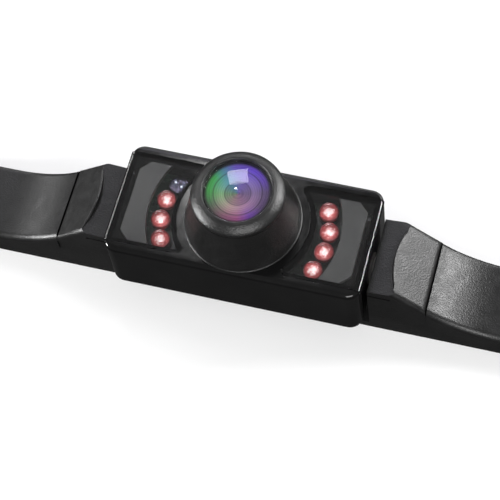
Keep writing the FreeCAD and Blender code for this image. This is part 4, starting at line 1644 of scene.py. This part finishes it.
@dataclass
class LensUnit:
    """The hood, bezel and glass of the lens."""

    glass_radius: float = 8.65
    glass_edge: float = 42.6
    glass_top: float = 43.9
    hood_top: float = 40.6
    front: float = 27.5
    sides: int = 128

    def hood(self) -> None:
        """The tapered hood."""
        hood = Workpiece.turned(
            "lens_cone",
            (
                (9.8, 24.5), (10.9, 24.5), (10.9, self.front), (15.05, self.front), (15.05, 27.85),
                (14.98, 27.96), (14.84, 28.02), (14.3, 30.2), (13.7, 32.7), (13.1, 35.2), (12.5, 37.7),
                (12.12, 39.4), (11.95, 40.2), (11.86, self.hood_top), (8.1, self.hood_top), (8.1, 33.0),
                (9.8, 33.0),
            ),
            self.sides,
            ring=True,
        )
        hood.deliver(HOOD, Body.HEAD, "lens_hood")

    def bezel(self) -> None:
        """The bezel with a thin lip round the glass."""
        bezel = Workpiece.turned(
            "lens_bezel_ring",
            (
                (8.7, self.hood_top), (11.6, self.hood_top), (11.82, 40.75), (11.85, 41.2), (11.72, 41.6),
                (11.4, 42.05), (10.9, 42.55), (10.3, 43.0), (9.8, 43.3), (9.55, 43.42), (9.42, 43.44),
                (9.3, 43.55), (9.12, 43.6), (8.95, 43.58), (8.82, 43.48), (8.72, 43.3), (8.7, 43.0),
            ),
            self.sides,
            ring=True,
        )
        bezel.deliver(HOOD, Body.HEAD, "lens_bezel")

    def dome_profile(self, steps: int = 14) -> list[tuple[float, float]]:
        """The glass's dome from its edge to its pole.

        Args:
            steps: how many steps the dome has.

        Returns:
            Radius and height of each loop.
        """
        sag = self.glass_top - self.glass_edge
        ball = (self.glass_radius**2 + sag**2) / (2 * sag)
        centre = self.glass_top - ball
        radii = [self.glass_radius * (1 - step / steps) for step in range(steps)]
        profile = [(radius, centre + math.sqrt(ball**2 - radius**2)) for radius in radii]
        return [*profile, (0, self.glass_top)]

    def glass(self) -> None:
        """The front glass with a disc of painted reflections just under it in place of its coated rear face.
        """
        glass = Workpiece.turned(
            "front_glass",
            (
                (0.5, 43.2), (1.5, 43.16), (3.0, 43.04), (4.5, 42.85), (5.5, 42.68), (6.8, 42.4), (8.0, 42.1),
                (8.4, 42.0), (self.glass_radius, 42.2), *self.dome_profile(),
            ),
            self.sides,
        )
        glass.deliver(GLASS, Body.HEAD, "front_lens", shading=Shading.ROUND)
        painted_reflections = Workpiece.turned(
            "glass_painted_reflections",
            (
                (8.0, 40.7), (8.6, 40.7), (8.6, 41.9), (8.3, 41.9), (7.6, 41.82), (6.4, 41.7), (6.1, 41.62),
                (4.6, 41.5), (3.4, 41.42), (3.1, 41.32), (1.6, 41.26), (0.6, 41.24), (0, 41.24),
            ),
            self.sides,
        )
        painted_reflections.deliver(LENS_REFLECTIONS, Body.HEAD, shading=Shading.ROUND)

    def build(self) -> None:
        """Make the hood, the bezel and the glass."""
        self.hood()
        self.bezel()
        self.glass()


@dataclass(frozen=True)
class PlainParts:
    """Pieces whose shape is taken over as it stands, with their finishes."""

    finishes: tuple[tuple[Finish, tuple[str, ...]], ...] = (
        (SATIN, ("base_bar",)),
        (NYLON, ("left_hinge_bush", "right_hinge_bush", "left_friction_washer", "right_friction_washer")),
        (STEEL, ("left_hinge_pin", "right_hinge_pin", "board_screws")),
        (RUBBER, ("case_seal", "lens_seal")),
        (BARREL, ("lens_barrel", "lens_holder", "aperture_stop")),
        (GLASS, ("second_lens", "third_lens", "rear_lens")),
        (BOARD, ("main_board",)),
        (CHIP, ("signal_processor", "voltage_regulator")),
        (NYLON, ("cord_connector",)),
        (SENSOR, ("image_sensor",)),
    )

    def dress(self) -> None:
        """Give each of the part's shown nodes its finish."""
        for finish, names in self.finishes:
            for name in names:
                node = frame["nodes"][name]
                node.data.materials.clear()
                node.data.materials.append(finish.material())
                log.info("%s: dressed in %s", name, finish.name)


# --- Studio --------------------------------------------------------------------------


@dataclass(frozen=True)
class SoftBox:
    """A rectangular studio light aimed at a point, in metres."""

    name: str
    place: tuple[float, float, float]
    size: tuple[float, float]
    power: float
    colour: Colour = (1.0, 1.0, 1.0)
    aim: tuple[float, float, float] = (0.0, 0.0, 0.02)

    def hang(self) -> None:
        """Hang the light."""
        lamp = bpy.data.lights.new(self.name, "AREA")
        lamp.shape = "RECTANGLE"
        lamp.size, lamp.size_y = self.size
        lamp.energy = self.power
        lamp.color = self.colour
        holder = bpy.data.objects.new(self.name, lamp)
        holder.location = self.place
        aim = Vector(self.aim) - Vector(self.place)
        holder.rotation_euler = aim.to_track_quat("-Z", "Y").to_euler()
        bpy.context.scene.collection.objects.link(holder)


@dataclass(frozen=True)
class Studio:
    """Floor, lights and camera."""

    back: tuple[float, float, float] = (0.1909, -0.3989, 0.8969)
    right: tuple[float, float, float] = (0.9618, 0.2588, -0.0896)
    place: tuple[float, float, float] = (0.0891, -0.1859, 0.4276)
    lens: float = 128.4
    sky: float = 0.32
    floor_size: float = 8.0
    floor_drop: float = 0.0002
    floor_shades: tuple[float, float] = (0.95, 0.98)
    floor_bounce: float = 0.08
    paper_grain: float = 60.0
    lights: tuple[SoftBox, ...] = (
        SoftBox("lens_box", (-0.147, 0.384, 0.478), (0.17, 0.17), 0.42, (0.88, 0.86, 1.0), (0, 0, 0.044)),
        SoftBox("lens_spark", (-0.135, 0.262, 0.560), (0.022, 0.022), 0.12, aim=(0, 0, 0.044)),
        SoftBox("back_bank", (0.0, 1.2, 0.30), (1.9, 0.16), 6.5),
        SoftBox("left_top", (-0.84, 0.42, 0.44), (0.32, 0.32), 2.0),
        SoftBox("left_strip", (-0.84, -0.31, 0.16), (0.26, 0.18), 12.0),
        SoftBox("right_bank", (0.72, 0.46, 0.42), (0.34, 0.34), 9.0),
        SoftBox("rim_strip", (0.70, 0.80, 0.15), (0.5, 0.10), 2.6),
        SoftBox("front_fill", (0.45, -0.95, 0.75), (0.9, 0.5), 12.5),
    )

    def floor(self) -> None:
        """A plain pale floor as the camera sees it; to every other ray it is near black, a painted shade in
        the part's reflections and bounced light.
        """
        Workpiece.clear_bench()
        bpy.ops.mesh.primitive_plane_add(size=self.floor_size, location=(0, 0, -self.floor_drop))
        floor = bpy.context.object
        floor.name = "studio_floor"
        wiring = Wiring("floor_paper")
        seen = wiring.tint(wiring.noise(self.paper_grain), *map(grey, self.floor_shades))
        # Painted shade: the floor turns near black for every ray that is not the camera's.
        path = wiring.add("LightPath")
        bounce = (*grey(self.floor_bounce), 1)
        shade = wiring.blend("MIX", path.outputs["Is Camera Ray"], bounce, seen)
        shader = wiring.add("BsdfPrincipled", Base_Color=shade, Roughness=0.9, Specular_IOR_Level=0.0)
        floor.data.materials.append(wiring.finish(shader))

    def camera(self) -> None:
        """The camera that the scene is seen through."""
        data = bpy.data.cameras.new("camera")
        data.sensor_width = 36
        data.lens = self.lens
        data.clip_start = 0.01
        camera = bpy.data.objects.new("camera", data)
        back = Vector(self.back).normalized()
        right = Vector(self.right).normalized()
        turn = Matrix((right, back.cross(right), back)).transposed().to_4x4()
        camera.matrix_world = Matrix.Translation(Vector(self.place)) @ turn
        bpy.context.scene.collection.objects.link(camera)
        bpy.context.scene.camera = camera

    def build(self) -> None:
        """Set up the floor, the lights and the camera."""
        world = bpy.data.worlds.new("studio")
        world.use_nodes = True
        world.node_tree.nodes["Background"].inputs["Color"].default_value = (1, 1, 1, 1)
        world.node_tree.nodes["Background"].inputs["Strength"].default_value = self.sky
        bpy.context.scene.world = world
        bpy.context.scene.view_settings.view_transform = "Standard"
        self.floor()
        for light in self.lights:
            light.hang()
        self.camera()


def main() -> None:
    """Build the camera and its bar, dress them and set up the studio."""
    logging.basicConfig(level=logging.INFO, format="%(name)s %(message)s")
    PlateBar().build()
    CameraCase().build()
    NightLamps().build()
    LensUnit().build()
    PlainParts().dress()
    Studio().build()


if __name__ == "__main__":
    main()
